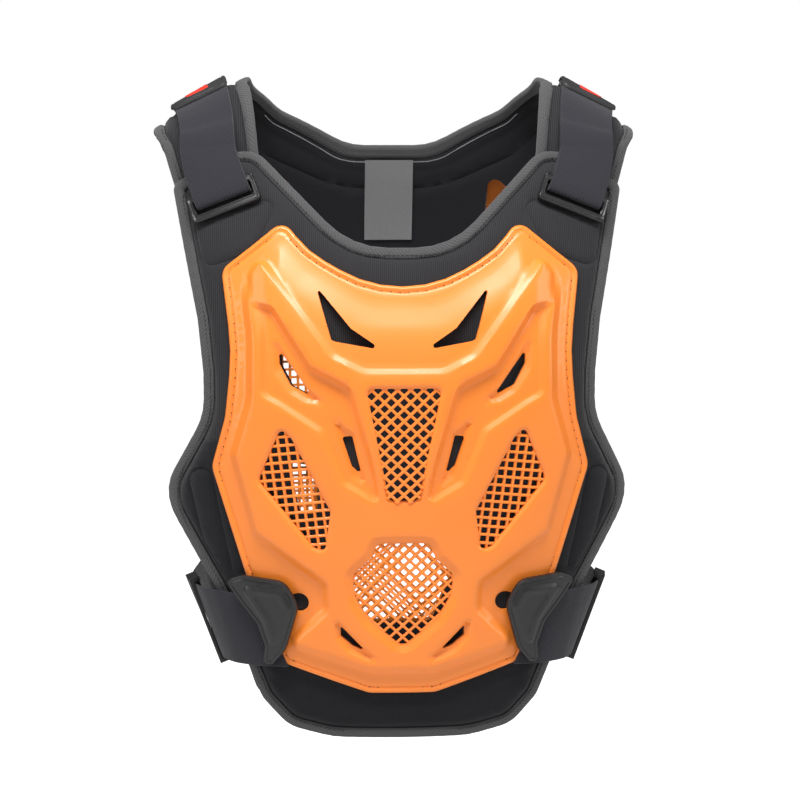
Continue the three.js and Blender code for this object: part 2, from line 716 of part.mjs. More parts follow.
// Square gaps of a moulded net inside a window, kept clear of its edge
function netGaps(corners, turn, from, to, pitch = NET_PITCH) {
  const ring = outline(corners);
  const centre = ring.reduce((sum, p) => sum.add(p), new THREE.Vector2()).divideScalar(ring.length);
  const reach = Math.max(...ring.map((p) => p.distanceTo(centre)));
  const cells = Math.ceil(reach / pitch);
  const half = (pitch - NET_BAR) / 2;
  const inside = (p) => ring.reduce((odd, a, i) => {
    const b = ring[(i + 1) % ring.length];
    const crosses = (a.y > p.y) !== (b.y > p.y) && p.x < ((b.x - a.x) * (p.y - a.y)) / (b.y - a.y) + a.x;
    return crosses ? !odd : odd;
  }, false);
  const squares = [];
  for (let i = -cells; i <= cells; i += 1) {
    for (let j = -cells; j <= cells; j += 1) {
      const middle = new THREE.Vector2(i * pitch, j * pitch)
        .rotateAround(new THREE.Vector2(), turn).add(centre);
      if (inside(middle)) {
        const square = [[-half, -half], [half, -half], [half, half], [-half, half]].map(([a, b]) => {
          const p = new THREE.Vector2(a, b).rotateAround(new THREE.Vector2(), turn).add(middle);
          return [p.x, p.y];
        });
        squares.push(prismOf(square, from, to));
      }
    }
  }
  return joined(squares).intersect(straight(corners, -NET_BAR, from - 1, to + 1));
}

// Plain prism of a convex ring of points
function prismOf(ring, from, to) {
  const count = ring.length;
  const points = [...ring.map(([x, y]) => [x, y, from]), ...ring.map(([x, y]) => [x, y, to])];
  const faces = [];
  for (let i = 1; i + 1 < count; i += 1) faces.push([0, i + 1, i], [count, count + i, count + i + 1]);
  for (let i = 0; i < count; i += 1) {
    const j = (i + 1) % count;
    faces.push([i, j, count + j], [i, count + j, count + i]);
  }
  return solidOf(points, faces);
}

function roundHole(centre, radius, from, to) {
  const sides = 12;
  const ring = Array.from({ length: sides }, (_, i) => {
    const angle = (2 * Math.PI * (i + 0.5)) / sides;
    return [centre.x + radius * Math.cos(angle), centre.y + radius * Math.sin(angle)];
  });
  return prismOf(ring, from, to);
}

const bothSides = (corners) => [corners, mirrored(corners)];
const DIAGONAL = Math.PI / 4;
const SIDE_NET_TURN = THREE.MathUtils.degToRad(7);

// Front shell: outer form less inner form, then windows, nets, vents and holes
function frontShell() {
  const level = shellSolidLevels;
  const shell = wholeFromHalf(SHELL_ROWS, shellChart);
  const body = wholeFromHalf(BODY_ROWS, shellChart);
  const collar = wholeFromHalf(COLLAR_ROWS, shellChart);
  const channels = bothSides(rightSide(CHANNEL_ROWS, shellChart));
  const shield = wholeFromHalf(SHIELD_ROWS, shellChart);
  const above = level.collar + BEYOND;
  const below = SHELL_SEAT - BEYOND;
  const bodySlope = BODY_SLOPE / 2;
  const collarSlope = COLLAR_SLOPE / 2;
  const sunk = (corners, wall) => layered(corners, [
    { grow: wall - collarSlope, out: level.channel - wall },
    { grow: wall + collarSlope, out: level.body - wall },
    { grow: wall + collarSlope, out: above },
  ]);
  const raised = (corners, wall, slope, from, to) => layered(corners, [
    { grow: slope - wall, out: from - 1 },
    { grow: slope - wall, out: from },
    { grow: -slope - wall, out: to },
  ]);
  const form = (wall) => {
    const base = raised(body, wall, bodySlope, level.flange - wall, level.body - wall);
    const hollowed = cutBy(base, [...channels, shield].map((corners) => sunk(corners, wall)));
    const arms = raised(collar, wall, collarSlope, level.channel - wall, level.collar - wall);
    return hollowed.add(arms);
  };
  const outer = straight(shell, 0, below, level.flange).add(form(0));
  const hollow = raised(body, SHELL_WALL, bodySlope, SHELL_SEAT, level.channel - SHELL_WALL);
  const inner = straight(shell, BEYOND, below - 1, SHELL_SEAT).add(hollow);
  const skin = outer.subtract(inner);

  const columnWindow = wholeFromHalf(COLUMN_WINDOW_ROWS, shellChart);
  const sideWindows = bothSides(rightSide(SIDE_WINDOW_ROWS, shellChart));
  const netWindow = (corners, top, turn) => {
    const netTop = top - NET_DROP;
    const netFloor = netTop - NET_THICKNESS;
    return {
      opening: straight(corners, 0, below, above),
      net: straight(corners, SHELL_WALL, netFloor, netTop)
        .subtract(netGaps(corners, turn, netFloor - 1, netTop + 1)),
    };
  };
  const nets = [
    netWindow(columnWindow, level.collar, DIAGONAL),
    netWindow(sideWindows[0], level.body, -SIDE_NET_TURN),
    netWindow(sideWindows[1], level.body, SIDE_NET_TURN),
  ];
  const vents = [EYE_VENT_ROWS, UPPER_VENT_ROWS, MIDDLE_VENT_ROWS, LOWER_VENT_ROWS]
    .flatMap((rows) => bothSides(rightSide(rows, shellChart)))
    .map((corners) => straight(corners, 0, below, above));
  const holes = [1, -1].flatMap((side) => [
    roundHole(shellChart(side * ROUND_HOLE.across, ROUND_HOLE.down), ROUND_HOLE_RADIUS, below, above),
    roundHole(shellChart(side * STUD.across, STUD.down), STUD_RADIUS + STUD_CLEARANCE, below, above),
  ]);
  const opened = cutBy(skin, [
    ...nets.map((net) => net.opening), ...vents, ...holes,
    netGaps(shield, DIAGONAL, below, above),
  ]);
  return joined([opened, ...nets.map((net) => net.net)]);
}

// Pad layers: foam face, straight edge beside the tape, and crowned outer face
function padLayers(thickness) {
  const edge = -(TAPE_WIDTH + TAPE_CLEARANCE);
  return [
    { grow: edge - EDGE_SLOPE / 2, out: 0 },
    { grow: edge, out: EDGE_LIFT },
    { grow: edge, out: EDGE_LIFT + EDGE_THICKNESS },
    { grow: edge - EDGE_SLOPE, out: thickness },
  ];
}

// Bound edge: the pad's foam pressed flat inside its folded tape, one ring all round the pad
function boundEdge(corners) {
  const low = EDGE_LIFT - TAPE_THICKNESS;
  const high = EDGE_LIFT + EDGE_THICKNESS + TAPE_THICKNESS;
  return straight(corners, 0, low, high).subtract(straight(corners, -TAPE_WIDTH, low - 1, high + 1));
}

const onFront = (solid) => bent(solid, chestGrid, (x, y, out) => onGrid(chestGrid, x, y, out));
const onBack = (solid) => bent(solid, sheetGrid, (x, y, out) => onGrid(sheetGrid, x, y, out));
const throughPad = (corners) => straight(corners, PAD_WINDOW_MARGIN, -BEYOND, PAD_THICKNESS + BEYOND);

function frontPad() {
  const pad = layered(wholeFromHalf(PAD_ROWS, padChart), padLayers(PAD_THICKNESS));
  const windows = [
    wholeFromHalf(COLUMN_WINDOW_ROWS, shellChart),
    wholeFromHalf(SHIELD_ROWS, shellChart),
    ...[SIDE_WINDOW_ROWS, UPPER_VENT_ROWS, LOWER_VENT_ROWS]
      .flatMap((rows) => bothSides(rightSide(rows, shellChart))),
  ];
  return cutBy(pad, windows.map((corners) => throughPad(corners)));
}

const backChart = (across, down, round) => ({
  x: across * BACK_HALF_WIDTH, y: ARCH_FOOT_BACK - down * BACK_HEIGHT, round,
});
const flapChart = (across, down, round) => ({
  x: across * BACK_HALF_WIDTH, y: down * (ARCH_LENGTH + FLAP_REACH), round,
});
const backShellChart = (across, down, round) => ({
  x: across * BACK_SHELL_HALF_WIDTH,
  y: ARCH_FOOT_BACK - BACK_SHELL_TOP - down * BACK_SHELL_HEIGHT,
  round,
});

// Shoulder flap: neckline, over the crest, end behind the front pad, armhole; shares of its reach
const FLAP_ROWS = [
  { across: 0.18, down: 0.031, round: 60 },
  { across: 0.472, down: 0.154, round: 30 },
  { across: 0.584, down: 0.276, round: 25 },
  { across: 0.612, down: 0.47, round: 60 },
  { across: 0.584, down: 0.68, round: 60 },
  { across: 0.539, down: 1.0, round: 8 },
  { across: 0.888, down: 1.0, round: 8 },
  { across: 0.995, down: 0.67, round: 60 },
  { across: 0.995, down: 0.31, round: 60 },
  { across: 0.96, down: 0.05, round: 60 },
];

// Back from the armhole down: share of the half width and of the drop to the hem
const BACK_ROWS = [
  { across: 0.77, down: 0.275, round: 60 },
  { across: 0.753, down: 0.474, round: 80 },
  { across: 0.787, down: 0.62, round: 40 },
  { across: 0.719, down: 0.79, round: 30 },
  { across: 0.573, down: 0.963, round: 20 },
  { across: 0.478, down: 1.0, round: 20 },
];

// Back shell outline: neck dip, shoulder horn, shoulder, waist, wing, flank, tail
const BACK_SHELL_ROWS = [
  { across: 0.25, down: 0.072, round: 40 },
  { across: 0.55, down: 0.03, round: 20 },
  { across: 0.8, down: -0.01, round: 10 },
  { across: 1.0, down: 0.09, round: 10 },
  { across: 0.93, down: 0.34, round: 80 },
  { across: 1.0, down: 0.56, round: 20 },
  { across: 0.7, down: 0.76, round: 20 },
  { across: 0.6, down: 0.95, round: 14 },
  { across: 0.22, down: 1.0, round: 14 },
];
const BACK_BODY_ROWS = [
  { across: 0.22, down: 0.12, round: 20 },
  { across: 0.76, down: 0.05, round: 10 },
  { across: 0.84, down: 0.12, round: 10 },
  { across: 0.76, down: 0.34, round: 40 },
  { across: 0.84, down: 0.54, round: 20 },
  { across: 0.56, down: 0.74, round: 20 },
  { across: 0.5, down: 0.92, round: 10 },
  { across: 0.2, down: 0.955, round: 10 },
];
const BACK_UPPER_WINDOW_ROWS = [
  { across: 0.4, down: 0.42, round: 4 },
  { across: 0.76, down: 0.4, round: 6 },
  { across: 0.74, down: 0.5, round: 6 },
  { across: 0.44, down: 0.52, round: 4 },
];
const BACK_SIDE_WINDOW_ROWS = [
  { across: 0.5, down: 0.63, round: 4 },
  { across: 0.68, down: 0.62, round: 4 },
  { across: 0.6, down: 0.72, round: 4 },
  { across: 0.5, down: 0.72, round: 4 },
];
const BACK_TAIL_WINDOW_ROWS = [
  { across: 0.4, down: 0.745, round: 6 },
  { across: 0.42, down: 0.85, round: 8 },
  { across: 0.28, down: 0.94, round: 8 },
];
// Openings of the back pad under the shoulders, closed outside by the shell
const BACK_VENT_ROWS = [
  { across: 0.64, down: 0.05, round: 4 },
  { across: 0.86, down: 0.09, round: 6 },
  { across: 0.84, down: 0.17, round: 6 },
  { across: 0.6, down: 0.15, round: 4 },
];

// Whole back sheet: one half from the neckline round the flap to the hem, then the other half
function sheetCorners() {
  const right = [
    ...FLAP_ROWS.map((row) => flapChart(row.across, row.down, row.round)),
    ...BACK_ROWS.map((row) => backChart(row.across, row.down, row.round)),
  ];
  return [...right, ...mirrored(right).reverse()];
}

const backWindows = () => [
  ...[BACK_UPPER_WINDOW_ROWS, BACK_SIDE_WINDOW_ROWS].flatMap((rows) => bothSides(rightSide(rows, backShellChart))),
  wholeFromHalf(BACK_TAIL_WINDOW_ROWS, backShellChart),
];

function backPad() {
  const vents = bothSides(rightSide(BACK_VENT_ROWS, backShellChart));
  return cutBy(
    layered(sheetCorners(), padLayers(BACK_THICKNESS)),
    [...backWindows(), ...vents].map((corners) => throughPad(corners)),
  );
}

function backShell() {
  const seat = BACK_THICKNESS + SHELL_CLEARANCE;
  const flange = seat + SHELL_WALL;
  const body = flange + BODY_RISE - CHANNEL_DROP;
  const slope = BODY_SLOPE / 2;
  const raised = (rows, wall, from, to) => layered(wholeFromHalf(rows, backShellChart), [
    { grow: slope - wall, out: from - 1 },
    { grow: slope - wall, out: from },
    { grow: -slope - wall, out: to },
  ]);
  const shell = wholeFromHalf(BACK_SHELL_ROWS, backShellChart);
  const outer = straight(shell, 0, seat, flange).add(raised(BACK_BODY_ROWS, 0, flange, body));
  const skin = outer.subtract(raised(BACK_BODY_ROWS, SHELL_WALL, seat, body - SHELL_WALL));
  return cutBy(skin, backWindows().map((corners, i) => {
    const turn = i < 4 ? SIDE_NET_TURN * (i % 2 ? 1 : -1) : DIAGONAL;
    return netGaps(corners, turn, seat - BEYOND, body + BEYOND, BACK_NET_PITCH);
  }));
}

// Path of a shoulder strap from its fold in the ring over the crest, as shares of the crest's
// distance from the middle and of the shoulder's length
const STRAP_ROWS = [
  { across: 0.878, along: 1.247 },
  { across: 0.957, along: 1.04 },
  { across: 0.993, along: 0.733 },
  { across: 1.0, along: 0.5 },
  { across: 1.0, along: 0.0 },
  { across: 1.0, along: -0.1 },
];
const strapCurve = new THREE.CatmullRomCurve3(
  STRAP_ROWS.map((row) => new THREE.Vector3(row.across * STRAP_CREST, row.along * ARCH_LENGTH, 0)),
);
strapCurve.arcLengthDivisions = 400;
const strapCurveLength = strapCurve.getLength();

// Place on the flat back sheet from lengths along and across the strap
function onStrap(along, across, out) {
  const share = THREE.MathUtils.clamp(along / strapCurveLength, 0, 1);
  const middle = strapCurve.getPointAt(share);
  const heading = strapCurve.getTangentAt(share);
  if (along < 0) middle.addScaledVector(heading, along);
  return middle.add(new THREE.Vector3(-across * heading.y, across * heading.x, out));
}

// Heights of the webbing's middle over the flap, over the pad's taped edge and over the pad
const HALF_WEBBING = WEBBING_THICKNESS / 2;
const LAYER_STEP = WEBBING_THICKNESS + LAYER_CLEARANCE;
const strapLevels = {
  flap: BACK_THICKNESS + WEBBING_CLEARANCE + HALF_WEBBING,
  edge: PAD_BACKING + EDGE_LIFT + EDGE_THICKNESS + TAPE_CLEARANCE + TAPE_THICKNESS + WEBBING_CLEARANCE + HALF_WEBBING,
  pad: PAD_BACKING + PAD_THICKNESS + WEBBING_CLEARANCE + HALF_WEBBING,
};
const ringTop = strapLevels.pad + HALF_WEBBING + LAYER_CLEARANCE + RING_THICKNESS / 2;
const overRing = ringTop + LAYER_CLEARANCE + HALF_WEBBING;
const barStart = RING_BAR / 2;

// Places along the strap where the front pad ends under it
const PAD_EDGE_ENDS = 45;
const PAD_EDGE_FOOT = 57;
const PAD_SHOULDER = 22;

// Centre line of the folded webbing, seen from the side: out over the pad, round the ring's bar, back
function strapLine() {
  const { flap, edge, pad } = strapLevels;
  return [
    [STRAP_LENGTH, flap], [PAD_EDGE_FOOT, flap], [PAD_EDGE_ENDS, edge], [PAD_SHOULDER, pad],
    [-HALF_WEBBING, pad], [-RING_BAR / 2, (pad + overRing) / 2], [-HALF_WEBBING, overRing],
    [barStart + RING_BAR, overRing], [PAD_EDGE_ENDS, edge + LAYER_STEP + 1],
    [PAD_EDGE_FOOT + 1, flap + LAYER_STEP], [STRAP_FOLDED_LENGTH, flap + LAYER_STEP],
  ];
}

// Outline of a line given a thickness, mitred at its bends
function thickened(line, thickness) {
  const side = (sign) => line.map(([x, y], i) => {
    const before = line[Math.max(i - 1, 0)];
    const after = line[Math.min(i + 1, line.length - 1)];
    const into = new THREE.Vector2(x - before[0], y - before[1]).normalize();
    const out = new THREE.Vector2(after[0] - x, after[1] - y).normalize();
    const heading = into.clone().add(out).normalize();
    const half = thickness / 2 / Math.max(heading.dot(i > 0 ? into : out), 0.5);
    return { x: x - sign * heading.y * half, y: y + sign * heading.x * half, round: 0 };
  });
  return [...side(1), ...side(-1).reverse()];
}

const strapStations = { columns: evenSteps(0, STRAP_LENGTH, 2 * ARCH_SLICE) };

function shoulderStrap() {
  const half = STRAP_WIDTH / 2;
  const webbing = straight(thickened(strapLine(), WEBBING_THICKNESS), 0, -half, half);
  return onBack(moved(webbing, strapStations, (along, out, across) => onStrap(along, across, out)));
}

// Ring that the strap folds round: two bars, two sides, and room under the upper bar
function strapRing() {
  const slotHalf = STRAP_WIDTH / 2 + RING_SIDE_CLEARANCE;
  const half = slotHalf + RING_SIDE_BAR;
  const seat = PAD_BACKING + PAD_THICKNESS + LAYER_CLEARANCE;
  const lowerEdge = barStart - RING_SLOT - RING_BAR;
  const upperEdge = barStart + RING_BAR;
  const frame = layered([
    { x: lowerEdge, y: -half, round: 3 }, { x: upperEdge, y: -half, round: 2 },
    { x: upperEdge, y: half, round: 2 }, { x: lowerEdge, y: half, round: 3 },
  ], [{ grow: 0, out: seat }, { grow: 0, out: ringTop - 1 }, { grow: -1, out: ringTop }]);
  const slot = block([barStart - RING_SLOT, -slotHalf, seat - 1], [barStart, slotHalf, ringTop + 1]);
  const underBar = block(
    [barStart - 1, -slotHalf, seat - 1], [upperEdge + 1, slotHalf, strapLevels.pad + HALF_WEBBING + LAYER_CLEARANCE],
  );
  return onBack(moved(cutBy(frame, [slot, underBar]), strapStations, onStrap));
}

function pullTab() {
  const half = STRAP_WIDTH / 2 + TAB_OVERHANG;
  const floor = strapLevels.flap + LAYER_STEP + HALF_WEBBING + LAYER_CLEARANCE;
  const end = STRAP_FOLDED_LENGTH + TAB_OVERHANG;
  const corners = [
    { x: end - TAB_LENGTH, y: -half, round: 5 }, { x: end, y: -half, round: 5 },
    { x: end, y: half, round: 5 }, { x: end - TAB_LENGTH, y: half, round: 5 },
  ];
  const tab = layered(corners, [
    { grow: 0, out: floor }, { grow: 0, out: floor + TAB_THICKNESS / 2 },
    { grow: -TAB_THICKNESS / 2, out: floor + TAB_THICKNESS },
  ]);
  return onBack(moved(tab, strapStations, onStrap));
}

// Side strap seen from above: shares of its reach and depth, its tilt to the waist and its lean in degrees
const SIDE_STRAP_ROWS = [
  { side: 0.666, back: -1.094, tilt: 9, lean: 24 },
  { side: 0.751, back: -1.032, tilt: 9, lean: 22 },
  { side: 0.846, back: -0.926, tilt: 11, lean: 16 },
  { side: 0.918, back: -0.813, tilt: 15, lean: 9 },
  { side: 0.975, back: -0.636, tilt: 19, lean: 4 },
  { side: 1.0, back: -0.34, tilt: 22, lean: 0 },
  { side: 1.006, back: 0.0, tilt: 22, lean: 0 },
  { side: 0.995, back: 0.42, tilt: 18, lean: 0 },
  { side: 0.975, back: 0.69, tilt: 13, lean: 0 },
  { side: 0.845, back: 0.885, tilt: 9, lean: 0 },
  { side: 0.66, back: 1.01, tilt: 8, lean: 0 },
];
const sideCurve = new THREE.CatmullRomCurve3(SIDE_STRAP_ROWS.map(
  (row) => new THREE.Vector3(row.side * SIDE_STRAP_REACH, row.back * SIDE_STRAP_DEPTH, 0),
));
const leanCurve = new THREE.CatmullRomCurve3(SIDE_STRAP_ROWS.map(
  (row) => new THREE.Vector3(row.tilt, row.lean, 0),
));
const sideLength = sideCurve.getLength();

function onSideStrap(along, across, out) {
  const share = THREE.MathUtils.clamp(along / sideLength, 0, 1);
  const u = sideCurve.getUtoTmapping(share);
  const middle = sideCurve.getPoint(u).setZ(-SIDE_STRAP_DROP);
  const heading = sideCurve.getTangent(u);
  const facing = new THREE.Vector3(heading.y, -heading.x, 0);
  const angles = leanCurve.getPoint(u);
  const rise = (degrees) => Math.tan(THREE.MathUtils.degToRad(degrees));
  const width = new THREE.Vector3(0, 0, 1)
    .addScaledVector(facing, rise(angles.x)).addScaledVector(heading, rise(angles.y)).normalize();
  const normal = heading.clone().cross(width).normalize();
  return middle.addScaledVector(width, across).addScaledVector(normal, out);
}

const sideStations = { columns: evenSteps(0, sideLength, ARCH_SLICE) };

function sideStrap() {
  const half = SIDE_STRAP_WIDTH / 2;
  const webbing = block([0, -half, -HALF_WEBBING], [sideLength, half, HALF_WEBBING]);
  return bent(webbing, sideStations, onSideStrap);
}

// Slider on the side strap: outer bars over the webbing, middle bar under it, rails beside it
function sideSlider() {
  const start = SLIDER_PLACE - SLIDER_LENGTH / 2;
  const end = SLIDER_PLACE + SLIDER_LENGTH / 2;
  const near = HALF_WEBBING + LAYER_CLEARANCE;
  const far = near + SLIDER_THICKNESS;
  const inside = SIDE_STRAP_WIDTH / 2 + RING_SIDE_CLEARANCE;
  const outside = inside + SLIDER_RAIL;
  const bar = (from, low, high) => block([from, -outside, low], [from + SLIDER_BAR, outside, high]);
  const rail = (low, high) => block([start, low, -far], [end, high, far]);
  const slider = joined([
    bar(start, near, far), bar(end - SLIDER_BAR, near, far),
    bar(SLIDER_PLACE - SLIDER_BAR / 2, -far, -near),
    rail(-outside, -inside), rail(inside, outside),
  ]);
  return bent(slider, sideStations, onSideStrap);
}

// Retainer plate that holds the side strap's front end, shares of its width and height from its stud
const RETAINER_ROWS = [
  { across: 0.76, up: 0.36, round: 4 },
  { across: 0.54, up: 0.43, round: 5 },
  { across: -0.06, up: 0.375, round: 12 },
  { across: -0.26, up: 0.1, round: 14 },
  { across: -0.08, up: -0.42, round: 20 },
  { across: 0.1, up: -0.61, round: 4 },
  { across: 0.22, up: -0.58, round: 2.5 },
  { across: 0.2, up: -0.375, round: 6 },
  { across: 0.31, up: -0.12, round: 10 },
  { across: 0.6, up: 0.18, round: 10 },
];

// Raised middle of the retainer, in the same shares
const PLATEAU_ROWS = [
  { across: 0.54, up: 0.31, round: 3 },
  { across: -0.03, up: 0.28, round: 8 },
  { across: -0.17, up: 0.07, round: 8 },
  { across: -0.03, up: -0.28, round: 6 },
  { across: 0.1, up: -0.4, round: 3 },
  { across: 0.21, up: -0.1, round: 6 },
];

function sideRetainer() {
  const stud = shellChart(STUD.across, STUD.down);
  const around = (rows) => rows.map((row) => ({
    x: stud.x + row.across * RETAINER_WIDTH, y: stud.y + row.up * RETAINER_HEIGHT, round: row.round,
  }));
  const shellTop = SHELL_SEAT + SHELL_WALL + RETAINER_CLEARANCE;
  const floor = shellTop + WEBBING_THICKNESS + 2 * WEBBING_CLEARANCE + STRAP_BOW;
  const rim = floor + RETAINER_THICKNESS - RETAINER_STEP;
  const plate = joined([
    layered(around(RETAINER_ROWS), [
      { grow: 0, out: floor }, { grow: 0, out: rim - RETAINER_BEVEL }, { grow: -RETAINER_BEVEL, out: rim },
    ]),
    layered(around(PLATEAU_ROWS), [
      { grow: 0, out: floor + 1 }, { grow: 0, out: rim }, { grow: -RETAINER_STEP, out: floor + RETAINER_THICKNESS },
    ]),
  ]);
  const post = roundHole(stud, STUD_RADIUS, PAD_THICKNESS + SHELL_CLEARANCE / 2, floor + 1);
  const collar = roundHole(stud, STUD_RADIUS + RETAINER_STEP, shellTop, floor + 1);
  return onFront(joined([plate, post, collar]));
}

function careLabel() {
  const half = LABEL_WIDTH / 2;
  const top = FLAP_ROWS[0].down * (ARCH_LENGTH + FLAP_REACH) - TAPE_WIDTH - TAPE_CLEARANCE;
  const label = block(
    [-half, top - LABEL_LENGTH, -LABEL_CLEARANCE - LABEL_THICKNESS], [half, top, -LABEL_CLEARANCE],
  );
  return onBack(label);
}

const group = new THREE.Group();
const surfaces = Object.fromEntries(
  Object.entries(COLOURS).map(([name, values]) => [name, new THREE.MeshStandardMaterial(values)]),
);
function addPiece(name, geometry, surface) {
  const mesh = new THREE.Mesh(geometry, surfaces[surface]);
  mesh.name = name;
  group.add(mesh);
}

function addPair(name, geometry, surface) {
  const left = geometry.clone().scale(-1, 1, 1);
  const index = left.index.array;
  for (let i = 0; i < index.length; i += 3) [index[i + 1], index[i + 2]] = [index[i + 2], index[i + 1]];
  left.computeVertexNormals();
  addPiece(`${name}_left`, left, surface);
  addPiece(`${name}_right`, geometry, surface);
}

addPiece('front_pad', onFront(frontPad()), 'foam');
addPiece('front_binding', onFront(boundEdge(wholeFromHalf(PAD_ROWS, padChart))), 'tape');
addPiece('front_shell', onFront(frontShell()), 'shell');
addPiece('back_pad', onBack(backPad()), 'foam');
addPiece('back_binding', onBack(boundEdge(sheetCorners())), 'tape');
addPiece('back_shell', onBack(backShell()), 'shell');
addPiece('care_label', careLabel(), 'label');
addPair('shoulder_strap', shoulderStrap(), 'webbing');
addPair('strap_ring', strapRing(), 'hardware');
addPair('pull_tab', pullTab(), 'rubber');
addPair('side_strap', sideStrap(), 'webbing');
addPair('side_slider', sideSlider(), 'hardware');
addPair('side_retainer', sideRetainer(), 'hardware');

export default group;
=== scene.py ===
# %% [markdown]
# # A motocross chest protector
# This protector is worn over a jersey. Two padded panels carry two moulded orange shells. Straps
# over the shoulders and at the waist hold front and back together. Here it keeps the shape that it
# has on a rider. The script starts from the measured frame and builds a finer surface for each
# piece. All lengths below are in millimetres until a mesh is made.

# %% The frame
import math

import bpy
import numpy as np
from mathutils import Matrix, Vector, geometry, kdtree


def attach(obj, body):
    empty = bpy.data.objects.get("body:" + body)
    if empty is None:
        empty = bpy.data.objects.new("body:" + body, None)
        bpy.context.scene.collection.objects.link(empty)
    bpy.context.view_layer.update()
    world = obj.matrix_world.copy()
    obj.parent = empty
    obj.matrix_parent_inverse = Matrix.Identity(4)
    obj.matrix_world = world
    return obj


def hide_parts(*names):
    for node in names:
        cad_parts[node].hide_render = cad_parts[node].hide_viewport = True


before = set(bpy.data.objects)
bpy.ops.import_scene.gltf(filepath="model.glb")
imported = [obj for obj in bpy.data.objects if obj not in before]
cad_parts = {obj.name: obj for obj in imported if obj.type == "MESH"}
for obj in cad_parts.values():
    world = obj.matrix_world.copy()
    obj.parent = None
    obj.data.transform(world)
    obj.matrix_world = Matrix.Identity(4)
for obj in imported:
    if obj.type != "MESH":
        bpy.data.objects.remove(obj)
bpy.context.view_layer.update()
print("pieces in the frame:", len(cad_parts))

# %% [markdown]
# ## The torso
# Each panel is drawn flat, as a pattern cutter would draw it, and then laid on a torso. A few level
# sections describe the torso. Each section has a half width, a depth in front and a depth behind.
# The section itself is half of an ellipse. A smooth curve runs from section to section.

# %% Torso sections
TORSO_HALF_WIDTH = 182
TORSO_DROP = 460
CHEST_DEPTH = 116
BACK_DEPTH = 108
CREST_HEIGHT = 9
SHOULDER_SLOPE = 0.56
SHOULDER_SLOPE_STARTS = 108
ARCH_FOOT_BACK = 45
ARCH_FOOT_FRONT = 38
ARCH_LENGTH = 150
PAD_BACKING = 8.7
WIDEST_SHARE = 0.985
NORMAL_STEP = 0.5

# down, half width, depth in front, depth behind: shares of the four sizes above
SECTIONS = np.array([
    (0.0, 1.13, 0.45, 0.56),
    (0.083, 1.13, 0.51, 0.67),
    (0.13, 1.11, 0.6, 0.73),
    (0.24, 1.05, 0.82, 0.88),
    (0.35, 1.015, 0.965, 0.98),
    (0.46, 1.0, 1.0, 0.995),
    (0.65, 0.97, 0.95, 0.91),
    (0.87, 0.845, 0.845, 0.8),
    (1.05, 0.82, 0.74, 0.75),
])
WIDTH, FRONT, BACK = 1, 2, 3


def section_value(column, z):
    """Smooth value of one column at heights z."""
    downs, values = SECTIONS[:, 0], SECTIONS[:, column]
    down = np.clip(-z / TORSO_DROP, downs[0], downs[-1])
    i = np.clip(np.searchsorted(downs, down) - 1, 0, len(downs) - 2)
    places = np.arange(len(downs))
    before, after = np.maximum(places - 1, 0), np.minimum(places + 1, len(downs) - 1)
    slopes = (values[after] - values[before]) / (downs[after] - downs[before])
    span = downs[i + 1] - downs[i]
    u = (down - downs[i]) / span
    change = values[i + 1] - values[i]
    a = slopes[i] * span - change
    b = change - slopes[i + 1] * span
    return (1 - u) * values[i] + u * values[i + 1] + u * (1 - u) * (a * (1 - u) + b * u)


def torso_point(x, z, side):
    half_width = TORSO_HALF_WIDTH * section_value(WIDTH, z)
    if side < 0:
        depth = CHEST_DEPTH * section_value(FRONT, z)
    else:
        depth = BACK_DEPTH * section_value(BACK, z)
    share = np.minimum(np.abs(x) / half_width, WIDEST_SHARE)
    return np.column_stack([x, side * depth * np.sqrt(1 - share**2), z])


def unit(vectors):
    return vectors / np.maximum(np.linalg.norm(vectors, axis=1, keepdims=True), 1e-9)


def raised_off(surface, p, q, out, outward):
    """Points at a distance out from a surface, on the side that outward names."""
    along = surface(p + NORMAL_STEP, q) - surface(p - NORMAL_STEP, q)
    across = surface(p, q + NORMAL_STEP) - surface(p, q - NORMAL_STEP)
    normal = unit(np.cross(along, across))
    normal *= np.sign(np.sum(normal * outward, axis=1, keepdims=True))
    return surface(p, q) + normal * np.asarray(out).reshape(-1, 1)


def on_chest(x, z, out):
    return raised_off(lambda a, b: torso_point(a, b, -1), x, z, out, np.array([[0.0, -1.0, 0.0]]))


def shoulder_arch(x, along):
    """The back sheet's way over the shoulder: a curve from the back's foot to the front's foot."""
    level = np.ones_like(x)
    back = torso_point(x, -ARCH_FOOT_BACK * level, 1)
    front = on_chest(x, -ARCH_FOOT_FRONT * level, -PAD_BACKING * level)
    rise_back = unit(back - torso_point(x, (-ARCH_FOOT_BACK - 1) * level, 1))
    rise_front = unit(front - on_chest(x, (-ARCH_FOOT_FRONT - 1) * level, -PAD_BACKING * level))
    crest = CREST_HEIGHT - SHOULDER_SLOPE * np.maximum(np.abs(x) - SHOULDER_SLOPE_STARTS, 0)
    pull = (crest - (back[:, 2] + front[:, 2]) / 2) / (3 / 8 * (rise_back[:, 2] + rise_front[:, 2]))
    handles = [back, back + rise_back * pull[:, None], front + rise_front * pull[:, None], front]
    t = (along / ARCH_LENGTH)[:, None]
    weights = [(1 - t)**3, 3 * t * (1 - t)**2, 3 * t**2 * (1 - t), t**3]
    return sum(weight * handle for weight, handle in zip(weights, handles))


def sheet_point(x, along):
    """The back sheet: up the back, over the shoulder and down behind the front pad."""
    on_back = torso_point(x, np.minimum(along, 0) - ARCH_FOOT_BACK, 1)
    down_front = -ARCH_FOOT_FRONT - np.maximum(along - ARCH_LENGTH, 0)
    on_front = on_chest(x, down_front, -PAD_BACKING * np.ones_like(x))
    arch = shoulder_arch(x, np.clip(along, 0, ARCH_LENGTH))
    place = np.where((along <= 0)[:, None], on_back, arch)
    return np.where((along >= ARCH_LENGTH)[:, None], on_front, place)


